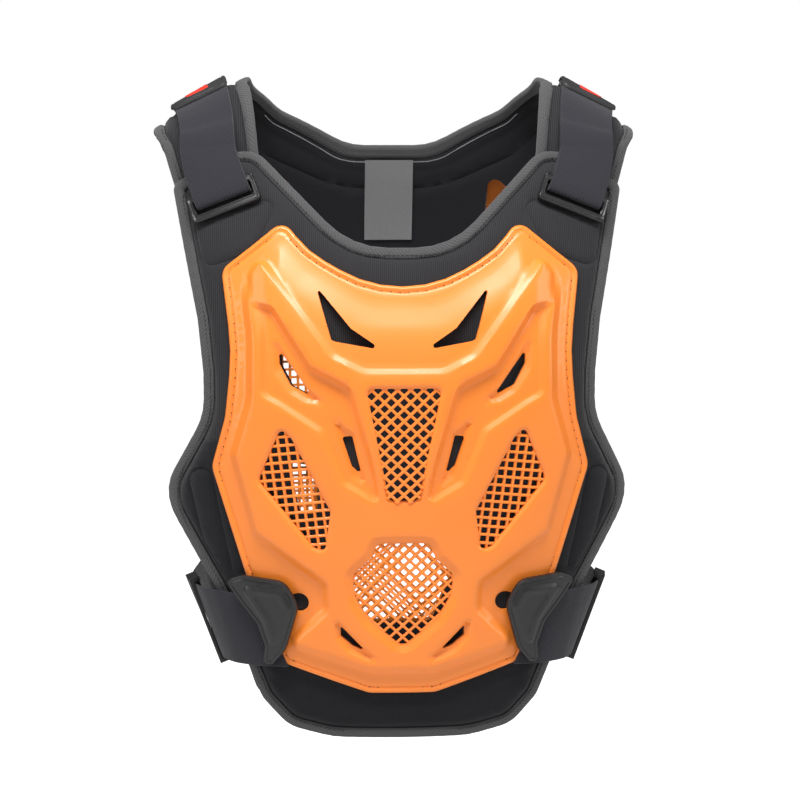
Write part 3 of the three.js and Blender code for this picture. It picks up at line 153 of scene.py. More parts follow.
def on_sheet(x, along, out):
    base = sheet_point(x, along)
    from_inside = base * np.array([0, 1, 1]) + np.array([0, 0, 2 * ARCH_FOOT_BACK])
    return raised_off(sheet_point, x, along, out, from_inside)


middle = on_chest(np.array([0.0]), np.array([-212.0]), np.array([0.0]))
print("chest point in the middle:", middle.round(1).tolist())

# %% [markdown]
# ## Drawing tools
# A pattern is a ring of corners, and each corner has a rounding. The ring can be grown or shrunk,
# which gives the lines that run beside an edge: a lip, a groove or a row of stitches. The distance
# from a line tells how high the surface stands there, so all of the relief is worked out from
# outlines.

# %% Outlines
ARC = math.radians(12)
CREASE_HALF = 0.45


def cross(a, b):
    return a[0] * b[1] - a[1] * b[0]


def rounded(corners, grow=0.0):
    """Ring of points through (x, y, rounding) corners; each edge is moved outward by grow."""
    ring = np.array(corners, float)
    following = np.roll(ring, -1, axis=0)
    if np.sum(ring[:, 0] * following[:, 1] - following[:, 0] * ring[:, 1]) < 0:
        ring = ring[::-1]
    count = len(ring)
    shifted = []
    for i in range(count):
        into = ring[i, :2] - ring[i - 1, :2]
        leaving = ring[(i + 1) % count, :2] - ring[i, :2]
        into, leaving = into / np.linalg.norm(into), leaving / np.linalg.norm(leaving)
        turn = math.atan2(cross(into, leaving), float(into @ leaving))
        aside = np.array([into[1] + leaving[1], -into[0] - leaving[0]])
        aside = aside / np.linalg.norm(aside) * grow / math.cos(turn / 2)
        shifted.append((ring[i, :2] + aside, into, turn, max(ring[i, 2] + math.copysign(grow, turn), 0.3)))
    points = []
    for i, (corner, into, turn, rounding) in enumerate(shifted):
        room = 0.49 * min(
            np.linalg.norm(corner - shifted[i - 1][0]), np.linalg.norm(shifted[(i + 1) % count][0] - corner)
        )
        half = max(math.tan(abs(turn) / 2), 1e-6)
        tangent = min(rounding * half, room)
        radius = tangent / half
        start = corner - into * tangent
        centre = start + np.array([-into[1], into[0]]) * math.copysign(radius, turn)
        steps = max(1, math.ceil(abs(turn) / ARC))
        for k in range(steps + 1):
            angle = turn * k / steps
            arm = start - centre
            spun = np.array([
                arm[0] * math.cos(angle) - arm[1] * math.sin(angle),
                arm[0] * math.sin(angle) + arm[1] * math.cos(angle),
            ])
            points.append(centre + spun)
    return np.array(points)


def resampled(line, step, closed=True):
    """Points along a line at nearly even steps, its corners kept."""
    ends = np.vstack([line, line[:1]]) if closed else line
    runs = []
    for a, b in zip(ends[:-1], ends[1:]):
        count = max(1, math.ceil(np.linalg.norm(b - a) / step))
        runs.append(a + (b - a) * (np.arange(count) / count)[:, None])
    return np.vstack(runs if closed else runs + [ends[-1:]])
def run_lengths(line):
    """Distance from a line's start to each of its points."""
    return np.concatenate([[0], np.cumsum(np.linalg.norm(np.diff(line, axis=0), axis=1))])

def depth_in(loop, points):
    """Distance of each point from a ring: positive inside it and negative outside."""
    nearest = np.full(len(points), np.inf)
    odd = np.zeros(len(points), bool)
    for a, b in zip(loop, np.roll(loop, -1, axis=0)):
        side = b - a
        length = float(side @ side)
        if length < 1e-12:
            continue
        along = np.clip((points - a) @ side / length, 0, 1)
        gap = points - a - along[:, None] * side
        nearest = np.minimum(nearest, np.hypot(gap[:, 0], gap[:, 1]))
        if a[1] != b[1]:
            crosses = (a[1] > points[:, 1]) != (b[1] > points[:, 1])
            odd ^= crosses & (points[:, 0] < a[0] + side[0] * (points[:, 1] - a[1]) / side[1])
    return np.where(odd, nearest, -nearest)


def ramp(distance, start, end):
    """0 before start, 1 after end, and an S-shaped rise between."""
    t = np.clip((distance - start) / (end - start), 0, 1)
    return t * t * (3 - 2 * t)


def slope(distance, start, end):
    """0 before start, 1 after end, and a straight slope between, as on a moulding's bevel."""
    return np.clip((distance - start) / (end - start), 0, 1)


def crease(*places):
    """Depths of the lines that keep a bevel crisp: one on each side of each of its edges."""
    return [place + step for place in places for step in (-CREASE_HALF, CREASE_HALF)]


def ridge(distance, place, half_width):
    """1 on a line at that distance, falling to 0 beside it."""
    return 1 - ramp(np.abs(distance - place), 0, half_width)


def mirrored(corners):
    return [(-x, y, rounding) for x, y, rounding in corners]


def whole(right_half):
    """Both halves of a ring, from the corners of its right half."""
    return list(right_half) + mirrored(right_half)[::-1]


def charted(rows, width, top, height):
    """Corners in mm from (across, down, rounding) rows in shares of a width and a height."""
    return [(across * width, top - down * height, rounding) for across, down, rounding in rows]
def rings_at(corners, *depths, paired=False):
    """Rings at depths inside an outline, and inside its mirror image too when paired."""
    outlines = (corners, mirrored(corners)) if paired else (corners,)
    return [rounded(outline, -depth) for depth in depths for outline in outlines]


def rectangle(x0, y0, x1, y1, rounding):
    return [(x0, y0, rounding), (x1, y0, rounding), (x1, y1, rounding), (x0, y1, rounding)]

# %% [markdown]
# ## Turning a pattern into a piece
# The pattern is filled with small triangles that follow every line drawn on it. Then each point is
# lifted to its height on the torso, once for the outer face and once for the inner face. A wall
# closes the edge. Straps, tapes and stitches are drawn by sweeping a small section along a line.

# %% Mesh tools
SHARP_ANGLE = math.radians(38)
# steps along holes and lines, the grid's row height, and its gaps to the rim and to the lines,
# all as shares of a panel's spacing
HOLE_STEP, LINE_STEP, ROW_STEP, RIM_GAP, LINE_GAP = 0.7, 0.8, 0.87, 0.5, 0.6


def in_scene(name, data):
    thing = bpy.data.objects.new(name, data)
    bpy.context.scene.collection.objects.link(thing)
    return thing


def belonging(piece, slot, nodes):
    """Ties a piece to the frame: its body and the solids that it replaces; slot is not used."""
    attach(piece, "root")
    if nodes:
        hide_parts(*nodes)
    return piece


def finished(name, vertices, faces, uv, material, slot, nodes=()):
    """A mesh object in metres, smooth except at its sharp edges, riding on the frame."""
    mesh = bpy.data.meshes.new(name)
    mesh.from_pydata((np.asarray(vertices) / 1000).tolist(), [], [list(map(int, face)) for face in faces])
    mesh.validate()
    layer = mesh.uv_layers.new(name="cloth")
    corner = np.zeros(len(mesh.loops), int)
    mesh.loops.foreach_get("vertex_index", corner)
    layer.data.foreach_set("uv", (np.asarray(uv)[corner] / 10).ravel())
    mesh.shade_smooth()
    mesh.set_sharp_from_angle(angle=SHARP_ANGLE)
    mesh.materials.append(material)
    print(name, len(faces), "faces")
    return belonging(in_scene(name, mesh), slot, nodes)


def turned_out(piece):
    """Turns a closed mesh's faces outward."""
    if sum(face.area * face.normal.dot(face.center) for face in piece.data.polygons) < 0:
        piece.data.flip_normals()
    return piece


def laid(place, flat, height):
    """Points of a pattern in space; height is a number or a function of the pattern's points."""
    level = height(flat) if callable(height) else np.full(len(flat), float(height))
    return place(flat[:, 0], flat[:, 1], level)


def tube_faces(layers, count, first=0, ring=False):
    """Faces round a swept section: layers are lines of count points; ends are capped or meet."""
    faces = []
    for k in range(layers):
        this, following = first + k * count, first + (k + 1) % layers * count
        for i in range(count if ring else count - 1):
            j = (i + 1) % count
            faces.append((this + i, following + i, following + j, this + j))
    if not ring:
        starts = [first + k * count for k in range(layers)]
        faces += [starts[::-1], [start + count - 1 for start in starts]]
    return faces


def filled(rim, holes, lines, spacing):
    """Triangles inside a rim and outside its holes, following the lines drawn across it."""
    chains = [resampled(rim, spacing)]
    chains += [resampled(hole, spacing * HOLE_STEP) for hole in holes]
    chains += [resampled(line, spacing * LINE_STEP) for line in lines]
    points, edges = [], []
    for chain in chains:
        start, count = len(points), len(chain)
        points.extend(chain.tolist())
        edges.extend((start + k, start + (k + 1) % count) for k in range(count))
    tree = kdtree.KDTree(len(points))
    for i, (x, y) in enumerate(points):
        tree.insert((x, y, 0), i)
    tree.balance()
    low, high = rim.min(axis=0), rim.max(axis=0)
    grid = []
    for k, y in enumerate(np.arange(low[1], high[1], spacing * ROW_STEP)):
        across = np.arange(low[0] + (k % 2) * spacing / 2, high[0], spacing)
        grid.append(np.column_stack([across, np.full_like(across, y)]))
    grid = np.vstack(grid)
    grid = grid[depth_in(rim, grid) > spacing * RIM_GAP]
    near = np.array([tree.find((x, y, 0))[2] for x, y in grid])
    points.extend(grid[near > spacing * LINE_GAP].tolist())
    flat = geometry.delaunay_2d_cdt([Vector(p) for p in points], edges, [], 0, 1e-3)
    places = np.array([tuple(v) for v in flat[0]])
    triangles = np.array(flat[2])
    centres = places[triangles].mean(axis=1)
    keep = depth_in(rim, centres) > 0
    for hole in holes:
        keep &= depth_in(hole, centres) < 0
    triangles = triangles[keep]
    used, index = np.unique(triangles, return_inverse=True)
    return places[used], index.reshape(-1, 3)


def panel(name, rim, holes, lines, spacing, place, top, bottom, material, slot, nodes=(), second=None):
    """A curved panel: outer face, inner face and walls; second is a material and where it lies."""
    flat, triangles = filled(rim, holes, lines, spacing)
    vertices = np.vstack([laid(place, flat, height) for height in (top, bottom)])
    count = len(flat)
    sides = np.vstack([triangles[:, [0, 1]], triangles[:, [1, 2]], triangles[:, [2, 0]]])
    seen = {tuple(side) for side in sides.tolist()}
    walls = [(i, j) for i, j in seen if (j, i) not in seen]
    faces = triangles.tolist() + (triangles[:, ::-1] + count).tolist()
    faces += [(j, i, i + count, j + count) for i, j in walls]
    piece = finished(name, vertices, faces, np.vstack([flat, flat]), material, slot, nodes)
    if second:
        piece.data.materials.append(second[0])
        centres = flat[triangles].mean(axis=1)
        chosen = np.concatenate([second[1](centres), np.ones(len(triangles)), np.zeros(len(walls))])
        piece.data.polygons.foreach_set("material_index", chosen.astype(int))
    return turned_out(piece)


# %% Swept pieces
# height of a tape's puckers, their spacing, and the run over which they come and go
PUCKER, PUCKER_PITCH, PUCKER_FADE = 0.12, 9, 31
WEBBING, WEBBING_STEP, WEBBING_FLAT = 1.8, 2.5, 0.98
THREAD_SIDES = 5
# how high a stitch's middle line stands at its five stations, in radii
THREAD_ARCH = np.array([-0.9, 0.1, 0.35, 0.1, -0.9])
BAR_BEVEL, BAR_SUNK, BAR_SWELLING, SECOND_BARS_LOWER = 0.5, 1.2, 0.45, 0.12


def swept_ring(name, path, section, place, material, slot, nodes):
    """A closed section carried round a ring drawn on the pattern; section is (inward, out) points."""
    tangent = unit(np.roll(path, -1, axis=0) - np.roll(path, 1, axis=0))
    inward = np.column_stack([-tangent[:, 1], tangent[:, 0]])
    if depth_in(path, path[:1] + inward[:1])[0] < 0:
        inward = -inward
    lengths = np.cumsum(np.linalg.norm(path - np.roll(path, 1, axis=0), axis=1))
    wave = PUCKER * np.sin(lengths * 2 * math.pi / PUCKER_PITCH) * np.sin(lengths / PUCKER_FADE)
    vertices = []
    for aside, out in section:
        flat = path + inward * aside
        vertices.append(place(flat[:, 0], flat[:, 1], out + wave))
    uv = [np.column_stack([lengths, np.full(len(path), k * 2.0)]) for k in range(len(section))]
    faces = tube_faces(len(section), len(path), ring=True)
    return turned_out(finished(name, np.vstack(vertices), faces, np.vstack(uv), material, slot, nodes))


def softened(line, passes=3):
    """Corner cutting, which rounds the bends of an open line."""
    line = np.array(line, float)
    for _ in range(passes):
        first, last = line[:-1] * 0.75 + line[1:] * 0.25, line[:-1] * 0.25 + line[1:] * 0.75
        line = np.vstack([line[:1], np.column_stack([first, last]).reshape(-1, 2), line[-1:]])
    return line


def webbing(name, line, width, place, material, nodes):
    """A flat woven strap: line is its side view as (along, out), laid by place(along, across, out)."""
    line = resampled(softened(line), WEBBING_STEP, closed=False)
    tangent = unit(np.gradient(line, axis=0))
    aside = np.column_stack([-tangent[:, 1], tangent[:, 0]])
    half, lift = width / 2, WEBBING / 2
    around = [(-half, 0)] + [(s * half * WEBBING_FLAT, lift) for s in np.linspace(-1, 1, 13)]
    around += [(half, 0)] + [(s * half * WEBBING_FLAT, -lift) for s in np.linspace(1, -1, 13)]
    vertices, uv = [], []
    for across, out in around:
        side, level = line + aside * out, np.full(len(line), across)
        vertices.append(place(side[:, 0], level, side[:, 1]))
        uv.append(np.column_stack([level, run_lengths(line)]))
    faces = tube_faces(len(around), len(line))
    turned_out(finished(name, np.vstack(vertices), faces, np.vstack(uv), material, "webbing", nodes))
    print(name, "is", round(run_lengths(line)[-1]), "mm long")


def threads(name, path, out, place, pitch, length, radius, material, slot):
    """A row of stitches: short bent threads whose ends are sunk in the cloth."""
    line, below = laid(place, path, out), laid(place, path, out - 1)
    lengths = run_lengths(line)
    vertices, faces = [], []
    for start in np.arange(0, lengths[-1] - length, pitch):
        stations = start + length * np.linspace(0, 1, len(THREAD_ARCH))
        spots = np.column_stack([np.interp(stations, lengths, line[:, k]) for k in range(3)])
        up = unit(spots - np.column_stack([np.interp(stations, lengths, below[:, k]) for k in range(3)]))
        aside = unit(np.cross(np.gradient(spots, axis=0), up))
        faces += tube_faces(THREAD_SIDES, len(THREAD_ARCH), len(vertices))
        for angle in np.arange(THREAD_SIDES) * 2 * math.pi / THREAD_SIDES:
            rise = radius * (0.8 * math.sin(angle) + THREAD_ARCH)
            vertices.extend(spots + radius * math.cos(angle) * aside + rise[:, None] * up)
    finished(name, vertices, faces, np.zeros((len(vertices), 2)), material, slot)


def crossings(loop, origin, heading):
    """Distances along a straight line at which it crosses a ring, in order."""
    found = []
    normal = np.array([-heading[1], heading[0]])
    for a, b in zip(loop, np.roll(loop, -1, axis=0)):
        da, db = (a - origin) @ normal, (b - origin) @ normal
        if (da > 0) != (db > 0):
            found.append(float((a + (b - a) * da / (da - db) - origin) @ heading))
    return sorted(found)


def net_bar(origin, heading, start, end, pitch, bar, low, top):
    """The six lines of a bevelled bar and their heights; it swells where another bar crosses."""
    quarters = np.arange(math.ceil(start * 4 / pitch), math.floor(end * 4 / pitch) + 1) * pitch / 4
    stations = np.concatenate([[start - BAR_SUNK], quarters, [end + BAR_SUNK]])
    swelling = 1 + BAR_SWELLING * np.maximum(-np.cos(2 * math.pi * stations / pitch), 0)**2
    middle_line = origin + stations[:, None] * heading
    aside = swelling[:, None] * np.array([-heading[1], heading[0]])
    half, shoulder = bar / 2, top - BAR_BEVEL
    left = [(-half, low), (-half, shoulder), (-half / 2, top)]
    section = left + [(-offset, height) for offset, height in left[::-1]]
    return [(middle_line + offset * aside, height) for offset, height in section]


def moulded_nets(name, nets, place, material, slot):
    """Crossed bars moulded across windows; nets are (ring, pitch, turn, bar width, out, thickness)."""
    vertices, faces, uv = [], [], []
    for ring, pitch, turn, bar, out, thickness in nets:
        centre = ring.mean(axis=0)
        reach = math.ceil(np.linalg.norm(ring - centre, axis=1).max() / pitch)
        for family in (0, 1):
            angle = turn + family * math.pi / 2
            heading = np.array([math.cos(angle), math.sin(angle)])
            for k in range(-reach, reach + 1):
                origin = centre + np.array([-heading[1], heading[0]]) * (k + 0.5) * pitch
                cuts = crossings(ring, origin, heading)
                for start, end in zip(cuts[::2], cuts[1::2]):
                    if end - start < bar:
                        continue
                    low, top = out - thickness, out - SECOND_BARS_LOWER * family
                    lines = net_bar(origin, heading, start, end, pitch, bar, low, top)
                    faces += tube_faces(len(lines), len(lines[0][0]), len(vertices))
                    for flat, height in lines:
                        vertices.extend(laid(place, flat, height))
                        uv.extend(flat)
    finished(name, vertices, faces, uv, material, slot)


# %% [markdown]
# ## Materials
# The shells are injection-moulded plastic with a satin gloss. The pads wear a fine ribbed knit over
# foam, and a woven tape binds their edges. The straps are webbing, and the fittings are black
# moulded plastic. Each material gets its pattern at the real scale from the flat pattern's own
# coordinates, so the ribs follow the cloth.

# %% Material tools
def new_material(name, colour, roughness, **settings):
    material = bpy.data.materials.new(name)
    material.use_nodes = True
    shader = material.node_tree.nodes["Principled BSDF"]
    shader.inputs["Base Color"].default_value = (*colour, 1)
    shader.inputs["Roughness"].default_value = roughness
    for socket, value in settings.items():
        shader.inputs[socket.replace("_", " ")].default_value = value
    return material


def add_node(material, kind, links=None, **values):
    """One shader node; links maps its inputs to the outputs that feed them."""
    node = material.node_tree.nodes.new(kind)
    for key, value in values.items():
        if key in node.inputs:
            node.inputs[key].default_value = value
        else:
            setattr(node, key, value)
    for socket, source in (links or {}).items():
        material.node_tree.links.new(source, node.inputs[socket])
    return node


def wave(material, place, direction, period_mm, distortion=0.0):
    """Stripes of a real width across the pattern, which counts in centimetres."""
    return add_node(
        material, "ShaderNodeTexWave", {"Vector": place}, bands_direction=direction,
        Scale=0.314 / (period_mm / 10), Distortion=distortion,
    ).outputs["Fac"]


def noise(material, place, size_mm, detail=3.0):
    node = add_node(material, "ShaderNodeTexNoise", {"Vector": place}, Scale=10 / size_mm, Detail=detail)
    return node.outputs["Fac"]


def mixed(material, amount, low, high):
    """A value between two numbers, or a colour between two colours, by amount."""
    if isinstance(low, tuple):
        node = add_node(material, "ShaderNodeMix", {0: amount}, data_type="RGBA")
        node.inputs[6].default_value = (*low, 1)
        node.inputs[7].default_value = (*high, 1)
        return node.outputs[2]
    node = add_node(material, "ShaderNodeMapRange", {"Value": amount})
    node.inputs["To Min"].default_value = low
    node.inputs["To Max"].default_value = high
    return node.outputs["Result"]


def multiplied(material, a, b):
    return add_node(material, "ShaderNodeMath", {0: a, 1: b}, operation="MULTIPLY").outputs[0]


def dressed(material, colour=None, roughness=None, height=None, depth_mm=0.2, strength=1.0):
    """Joins colour, roughness and height patterns to the material's shader."""
    links = material.node_tree.links
    shader = material.node_tree.nodes["Principled BSDF"]
    if colour:
        links.new(colour, shader.inputs["Base Color"])
    if roughness:
        links.new(roughness, shader.inputs["Roughness"])
    if height:
        bump = add_node(material, "ShaderNodeBump", {"Height": height}, Strength=strength)
        bump.inputs["Distance"].default_value = depth_mm / 1000
        links.new(bump.outputs["Normal"], shader.inputs["Normal"])
    return material


def pattern_place(material):
    return add_node(material, "ShaderNodeTexCoord").outputs["UV"]


def object_place(material):
    return add_node(material, "ShaderNodeTexCoord").outputs["Object"]


# %% The materials
def make_shell_plastic():
    orange = (0.96, 0.25, 0.03)
    m = new_material("shell_plastic", orange, 0.4, Coat_Weight=0.22, Coat_Roughness=0.16, IOR=1.5)
    place = pattern_place(m)
    cloud = noise(m, place, 45, 2.0)
    grain = noise(m, place, 1.1, 2.0)
    colour = mixed(m, cloud, (0.95, 0.238, 0.024), (0.96, 0.258, 0.03))
    return dressed(m, colour, mixed(m, cloud, 0.34, 0.46), grain, 0.05, 0.3)


def make_knit(name, low, high, rib_mm, row_mm):
    m = new_material(name, high, 0.9, Sheen_Weight=0.12, Sheen_Roughness=0.45, Specular_IOR_Level=0.2)
    place = pattern_place(m)
    ribs = wave(m, place, "X", rib_mm, 0.6)
    rows = wave(m, place, "Y", row_mm, 0.6)
    cells = multiplied(m, mixed(m, ribs, 0.4, 1.0), mixed(m, rows, 0.8, 1.0))
    fuzz = noise(m, place, 0.9, 4.0)
    height = multiplied(m, cells, mixed(m, fuzz, 0.7, 1.0))
    shade = multiplied(m, cells, mixed(m, noise(m, place, 38, 3.0), 0.75, 1.1))
    return dressed(m, mixed(m, shade, low, high), mixed(m, fuzz, 0.82, 0.96), height, 0.35, 0.8)


def make_weave(name, low, high, thread_mm, roughness):
    m = new_material(name, high, roughness, Sheen_Weight=0.2, Sheen_Roughness=0.5, Specular_IOR_Level=0.3)
    place = pattern_place(m)
    twill = wave(m, place, "DIAGONAL", thread_mm, 0.4)
    picks = wave(m, place, "Y", thread_mm * 0.8, 0.5)
    cells = multiplied(m, mixed(m, twill, 0.5, 1.0), mixed(m, picks, 0.6, 1.0))
    dust = noise(m, place, 2.5, 5.0)
    shade = multiplied(m, cells, mixed(m, dust, 0.7, 1.15))
    worn = mixed(m, dust, roughness - 0.08, roughness + 0.06)
    return dressed(m, mixed(m, shade, low, high), worn, cells, 0.25, 0.7)


def make_fitting(name, colour, roughness):
    m = new_material(name, colour, roughness, Coat_Weight=0.1, Coat_Roughness=0.3)
    place = object_place(m)
    grain = add_node(m, "ShaderNodeTexNoise", {"Vector": place}, Scale=900, Detail=3.0).outputs["Fac"]
    rubbed = add_node(m, "ShaderNodeTexNoise", {"Vector": place}, Scale=60, Detail=4.0).outputs["Fac"]
    light = tuple(value * 1.5 for value in colour)
    worn = mixed(m, rubbed, roughness - 0.07, roughness + 0.1)
    return dressed(m, mixed(m, rubbed, colour, light), worn, grain, 0.06, 0.4)


SHELL_PLASTIC = make_shell_plastic()
PAD_KNIT = make_knit("pad_knit", (0.003, 0.003, 0.004), (0.038, 0.037, 0.04), 1.35, 1.1)
# a smoother knit whose darker colour is partly painted shade: it covers the lower wings, the tail and the
# inner faces
SMOOTH_KNIT_AND_SHADE = make_knit("smooth_knit_and_shade", (0.004, 0.004, 0.005), (0.015, 0.015, 0.018), 0.8, 0.7)
EDGE_TAPE = make_weave("edge_tape", (0.022, 0.022, 0.023), (0.1, 0.099, 0.102), 1.3, 0.85)
STRAP_WEAVE = make_weave("strap_weave", (0.006, 0.0055, 0.008), (0.029, 0.0275, 0.036), 1.3, 0.92)
PALE_THREAD = make_fitting("pale_thread", (0.16, 0.16, 0.165), 0.8)
THREAD = make_fitting("dark_thread", (0.012, 0.012, 0.013), 0.7)
SHELL_THREAD = make_fitting("shell_thread", (0.5, 0.11, 0.015), 0.55)
# dark orange of the beads that stand for needle holes: painted shade of the holes
HOLE_SHADE_PAINT = make_fitting("painted_hole_shade", (0.03, 0.006, 0.002), 0.8)
FITTING = make_fitting("fitting_plastic", (0.009, 0.009, 0.0095), 0.38)
RUBBER = make_fitting("tab_rubber", (0.02, 0.02, 0.021), 0.62)
RED_INSET = make_fitting("red_inset", (0.62, 0.03, 0.015), 0.4)
LABEL_SATIN = make_weave("label_satin", (0.1, 0.1, 0.102), (0.25, 0.25, 0.255), 0.35, 0.45)
print("materials:", len(bpy.data.materials))

# %% [markdown]
# ## The shell's outlines
# The shell is injection moulded. Its outline has a shoulder horn, a narrow waist, a wide wing and a
# tail. Inside it a raised body carries two collar arms, which run down into a middle column, with a
# sunk channel under each arm. Each row gives a corner as shares of the shell's half width and
# height, and a rounding in millimetres. Only the right half is drawn, because the left mirrors it.

# %% Shell outlines
SHELL_HALF_WIDTH = 128
SHELL_TOP = -95
SHELL_HEIGHT = 328
STUD = (0.63, 0.82)
ROUND_HOLE = (0.548, 0.798)
STUD_HOLE_RADIUS = 5.6
ROUND_HOLE_RADIUS = 6.8

SHELL_ROWS = [
    (0.18, 0.127, 90), (0.5, 0.055, 80), (0.633, -0.009, 9), (0.957, 0.091, 10), (0.898, 0.259, 150),
    (0.934, 0.4, 30), (1.006, 0.509, 14), (0.828, 0.741, 100), (0.633, 0.938, 6), (0.176, 1.0, 14),
]
BODY_ROWS = [
    (0.188, 0.162, 40), (0.49, 0.092, 20), (0.633, 0.034, 8), (0.84, 0.098, 8), (0.797, 0.229, 60),
    (0.797, 0.357, 30), (0.883, 0.479, 10), (0.773, 0.646, 5), (0.406, 0.753, 6), (0.398, 0.811, 6),
    (0.594, 0.893, 5), (0.156, 0.948, 30),
]
COLLAR_ROWS = [
    (0.203, 0.295, 12), (0.36, 0.265, 12), (0.745, 0.07, 9), (0.8, 0.1, 9), (0.79, 0.165, 6),
    (0.68, 0.174, 5), (0.484, 0.29, 6), (0.281, 0.33, 10), (0.102, 0.588, 4),
]
CHANNEL_ROWS = [
    (0.719, 0.15, 2), (0.723, 0.345, 6), (0.64, 0.362, 6), (0.42, 0.419, 8), (0.305, 0.53, 5),
    (0.133, 0.57, 2), (0.2, 0.33, 4), (0.4, 0.26, 4),
]
# four pairs of vents, from the collar down: eye, upper, middle and lower
VENT_ROWS = [
    [(0.447, 0.134, 0.5), (0.37, 0.233, 1), (0.35, 0.236, 1), (0.127, 0.251, 1), (0.275, 0.213, 1)],
    [(0.647, 0.258, 1), (0.582, 0.29, 1), (0.48, 0.347, 1), (0.587, 0.326, 2), (0.645, 0.283, 2)],
    [(0.318, 0.435, 1), (0.272, 0.433, 1), (0.225, 0.512, 1), (0.268, 0.496, 2)],
    [(0.322, 0.847, 1), (0.3, 0.856, 1), (0.198, 0.9, 1), (0.26, 0.889, 1), (0.321, 0.868, 1)],
]
COLUMN_ROWS = [(0.195, 0.33, 4), (0.074, 0.569, 4)]
# pits round the three lower vents, in millimetres
PITS = [
    [
        (87, -168, 2), (75, -188, 20), (64, -204, 6), (51, -215, 1.5), (65, -213, 4), (75, -207, 6),
        (85, -192, 8),
    ],
    [
        (49, -220, 2), (39, -231, 6), (33, -235, 4), (30, -252, 20), (23, -275, 1.5), (34, -265, 6),
        (41.5, -241, 12),
    ],
    [
        (46, -365, 1.5), (40, -372, 6), (33, -380, 6), (26, -388, 6), (13, -400, 1.5), (26, -396, 5),
        (36, -391, 5), (44, -381, 3),
    ],
]
SIDE_WINDOW_ROWS = [
    (0.636, 0.408, 6), (0.57, 0.437, 8), (0.37, 0.592, 6), (0.4, 0.685, 4), (0.47, 0.675, 5),
    (0.762, 0.53, 6),
]
SHIELD_ROWS = [
    (0.161, 0.65, 3), (0.2, 0.69, 4), (0.299, 0.728, 3), (0.286, 0.782, 12), (0.206, 0.839, 12),
    (0.03, 0.9, 6),
]


def on_shell_chart(rows):
    return charted(rows, SHELL_HALF_WIDTH, SHELL_TOP, SHELL_HEIGHT)


def circle(centre, radius, count=32):
    angles = np.arange(count) * 2 * math.pi / count
    return np.column_stack([centre[0] + radius * np.cos(angles), centre[1] + radius * np.sin(angles)])

shell_corners, body_corners, collar_corners, shield_corners, column_corners = (
    whole(on_shell_chart(rows)) for rows in (SHELL_ROWS, BODY_ROWS, COLLAR_ROWS, SHIELD_ROWS, COLUMN_ROWS)
)
channel_corners, side_corners = on_shell_chart(CHANNEL_ROWS), on_shell_chart(SIDE_WINDOW_ROWS)
vent_corners = [on_shell_chart(rows) for rows in VENT_ROWS]
stud = (STUD[0] * SHELL_HALF_WIDTH, SHELL_TOP - STUD[1] * SHELL_HEIGHT)
round_hole = (ROUND_HOLE[0] * SHELL_HALF_WIDTH, SHELL_TOP - ROUND_HOLE[1] * SHELL_HEIGHT)
print("stud at", stud)

# %% [markdown]
# ## The chest shell's relief
# One height belongs to every point of the pattern. It starts at the flange and rises over the body,
# in a bevel below the neckline and in a long soft rise above it. It sinks into the channels, the
# pits and the windows, and rises again over the collar arms. A lip and a stitched groove follow the
# rim. The bevels are straight, and a mesh line on each side of every bevel's edge keeps it crisp, so
# that light catches it as on a moulding.

# %% Shell levels
SHELL_SEAT = 10.2
SHELL_WALL = 2.5
FLANGE = SHELL_SEAT + SHELL_WALL
BODY = FLANGE + 5
CHANNEL = BODY - 3.0
COLLAR = BODY + 3
WINDOW_DROP, PIT_DROP, COLUMN_DROP, HOLE_DROP = 1.5, 2.9, 1.4, 0.5
RIM_ROUND = 1.3
LIP_PLACE, LIP_RISE, LIP_HALF = 2.1, 0.5, 1.6
GROOVE_PLACE, GROOVE_DROP, GROOVE_HALF = 4.3, 0.8, 1.5
VENT_GROW = 0.5
# where each bevel starts and ends, by the depth inside its outline
BODY_BEVEL, UPPER_RISE = (-3.0, 3.2), (-4, 26)
COLLAR_BEVEL = (-1.8, 2.2)
CHANNEL_BEVEL = (-2.0, 1.2)
SHIELD_BEVEL = (-5.6, -1.2)
WINDOW_BEVEL = (-2.0, -0.1)
PIT_BEVEL = (-0.8, 2.4)
HOLE_BEVEL = (-1.6, 0)
# how far inside their drawn outlines the shield and the side windows are cut
SHIELD_SHRINK, WINDOW_SHRINK = 4.2, 1.0
# the neckline: its height in the middle, its rise at the sides and where that lies, and half its fade
NECKLINE, NECKLINE_RISE, NECKLINE_SIDES, NECKLINE_FADE = -170, 30, (88, 104), 12
# the collar arms flatten between these heights and between these distances from the middle
COLLAR_FADE, COLLAR_ENDS = (-290, -225), (86, 102)

channel_rings = rings_at(channel_corners, 0, paired=True)
side_windows = rings_at(side_corners, WINDOW_SHRINK, paired=True)
column_ring, shield_ring = rounded(column_corners), rounded(shield_corners, -SHIELD_SHRINK)
vents = [ring for corners in vent_corners for ring in rings_at(corners, -VENT_GROW, paired=True)]
pit_rings = [ring for corners in PITS for ring in rings_at(corners, 0, paired=True)]
shell_ring, body_ring, collar_ring = rounded(shell_corners), rounded(body_corners), rounded(collar_corners)
round_holes = [
    circle((side * x, z), radius)
    for side in (1, -1) for (x, z), radius in ((round_hole, ROUND_HOLE_RADIUS), (stud, STUD_HOLE_RADIUS))
]
print("openings of the shell:", 2 + len(side_windows + vents + round_holes))


# %% Shell relief
def rim_relief(depth):
    """Rounded edge, raised lip and stitched groove, by the depth inside a moulding's rim."""
    edge = -RIM_ROUND * (1 - np.sqrt(1 - (1 - np.clip(depth / RIM_ROUND, 0, 1))**2))
    lip = LIP_RISE * ridge(depth, LIP_PLACE, LIP_HALF)
    return edge + lip - GROOVE_DROP * ridge(depth, GROOVE_PLACE, GROOVE_HALF)


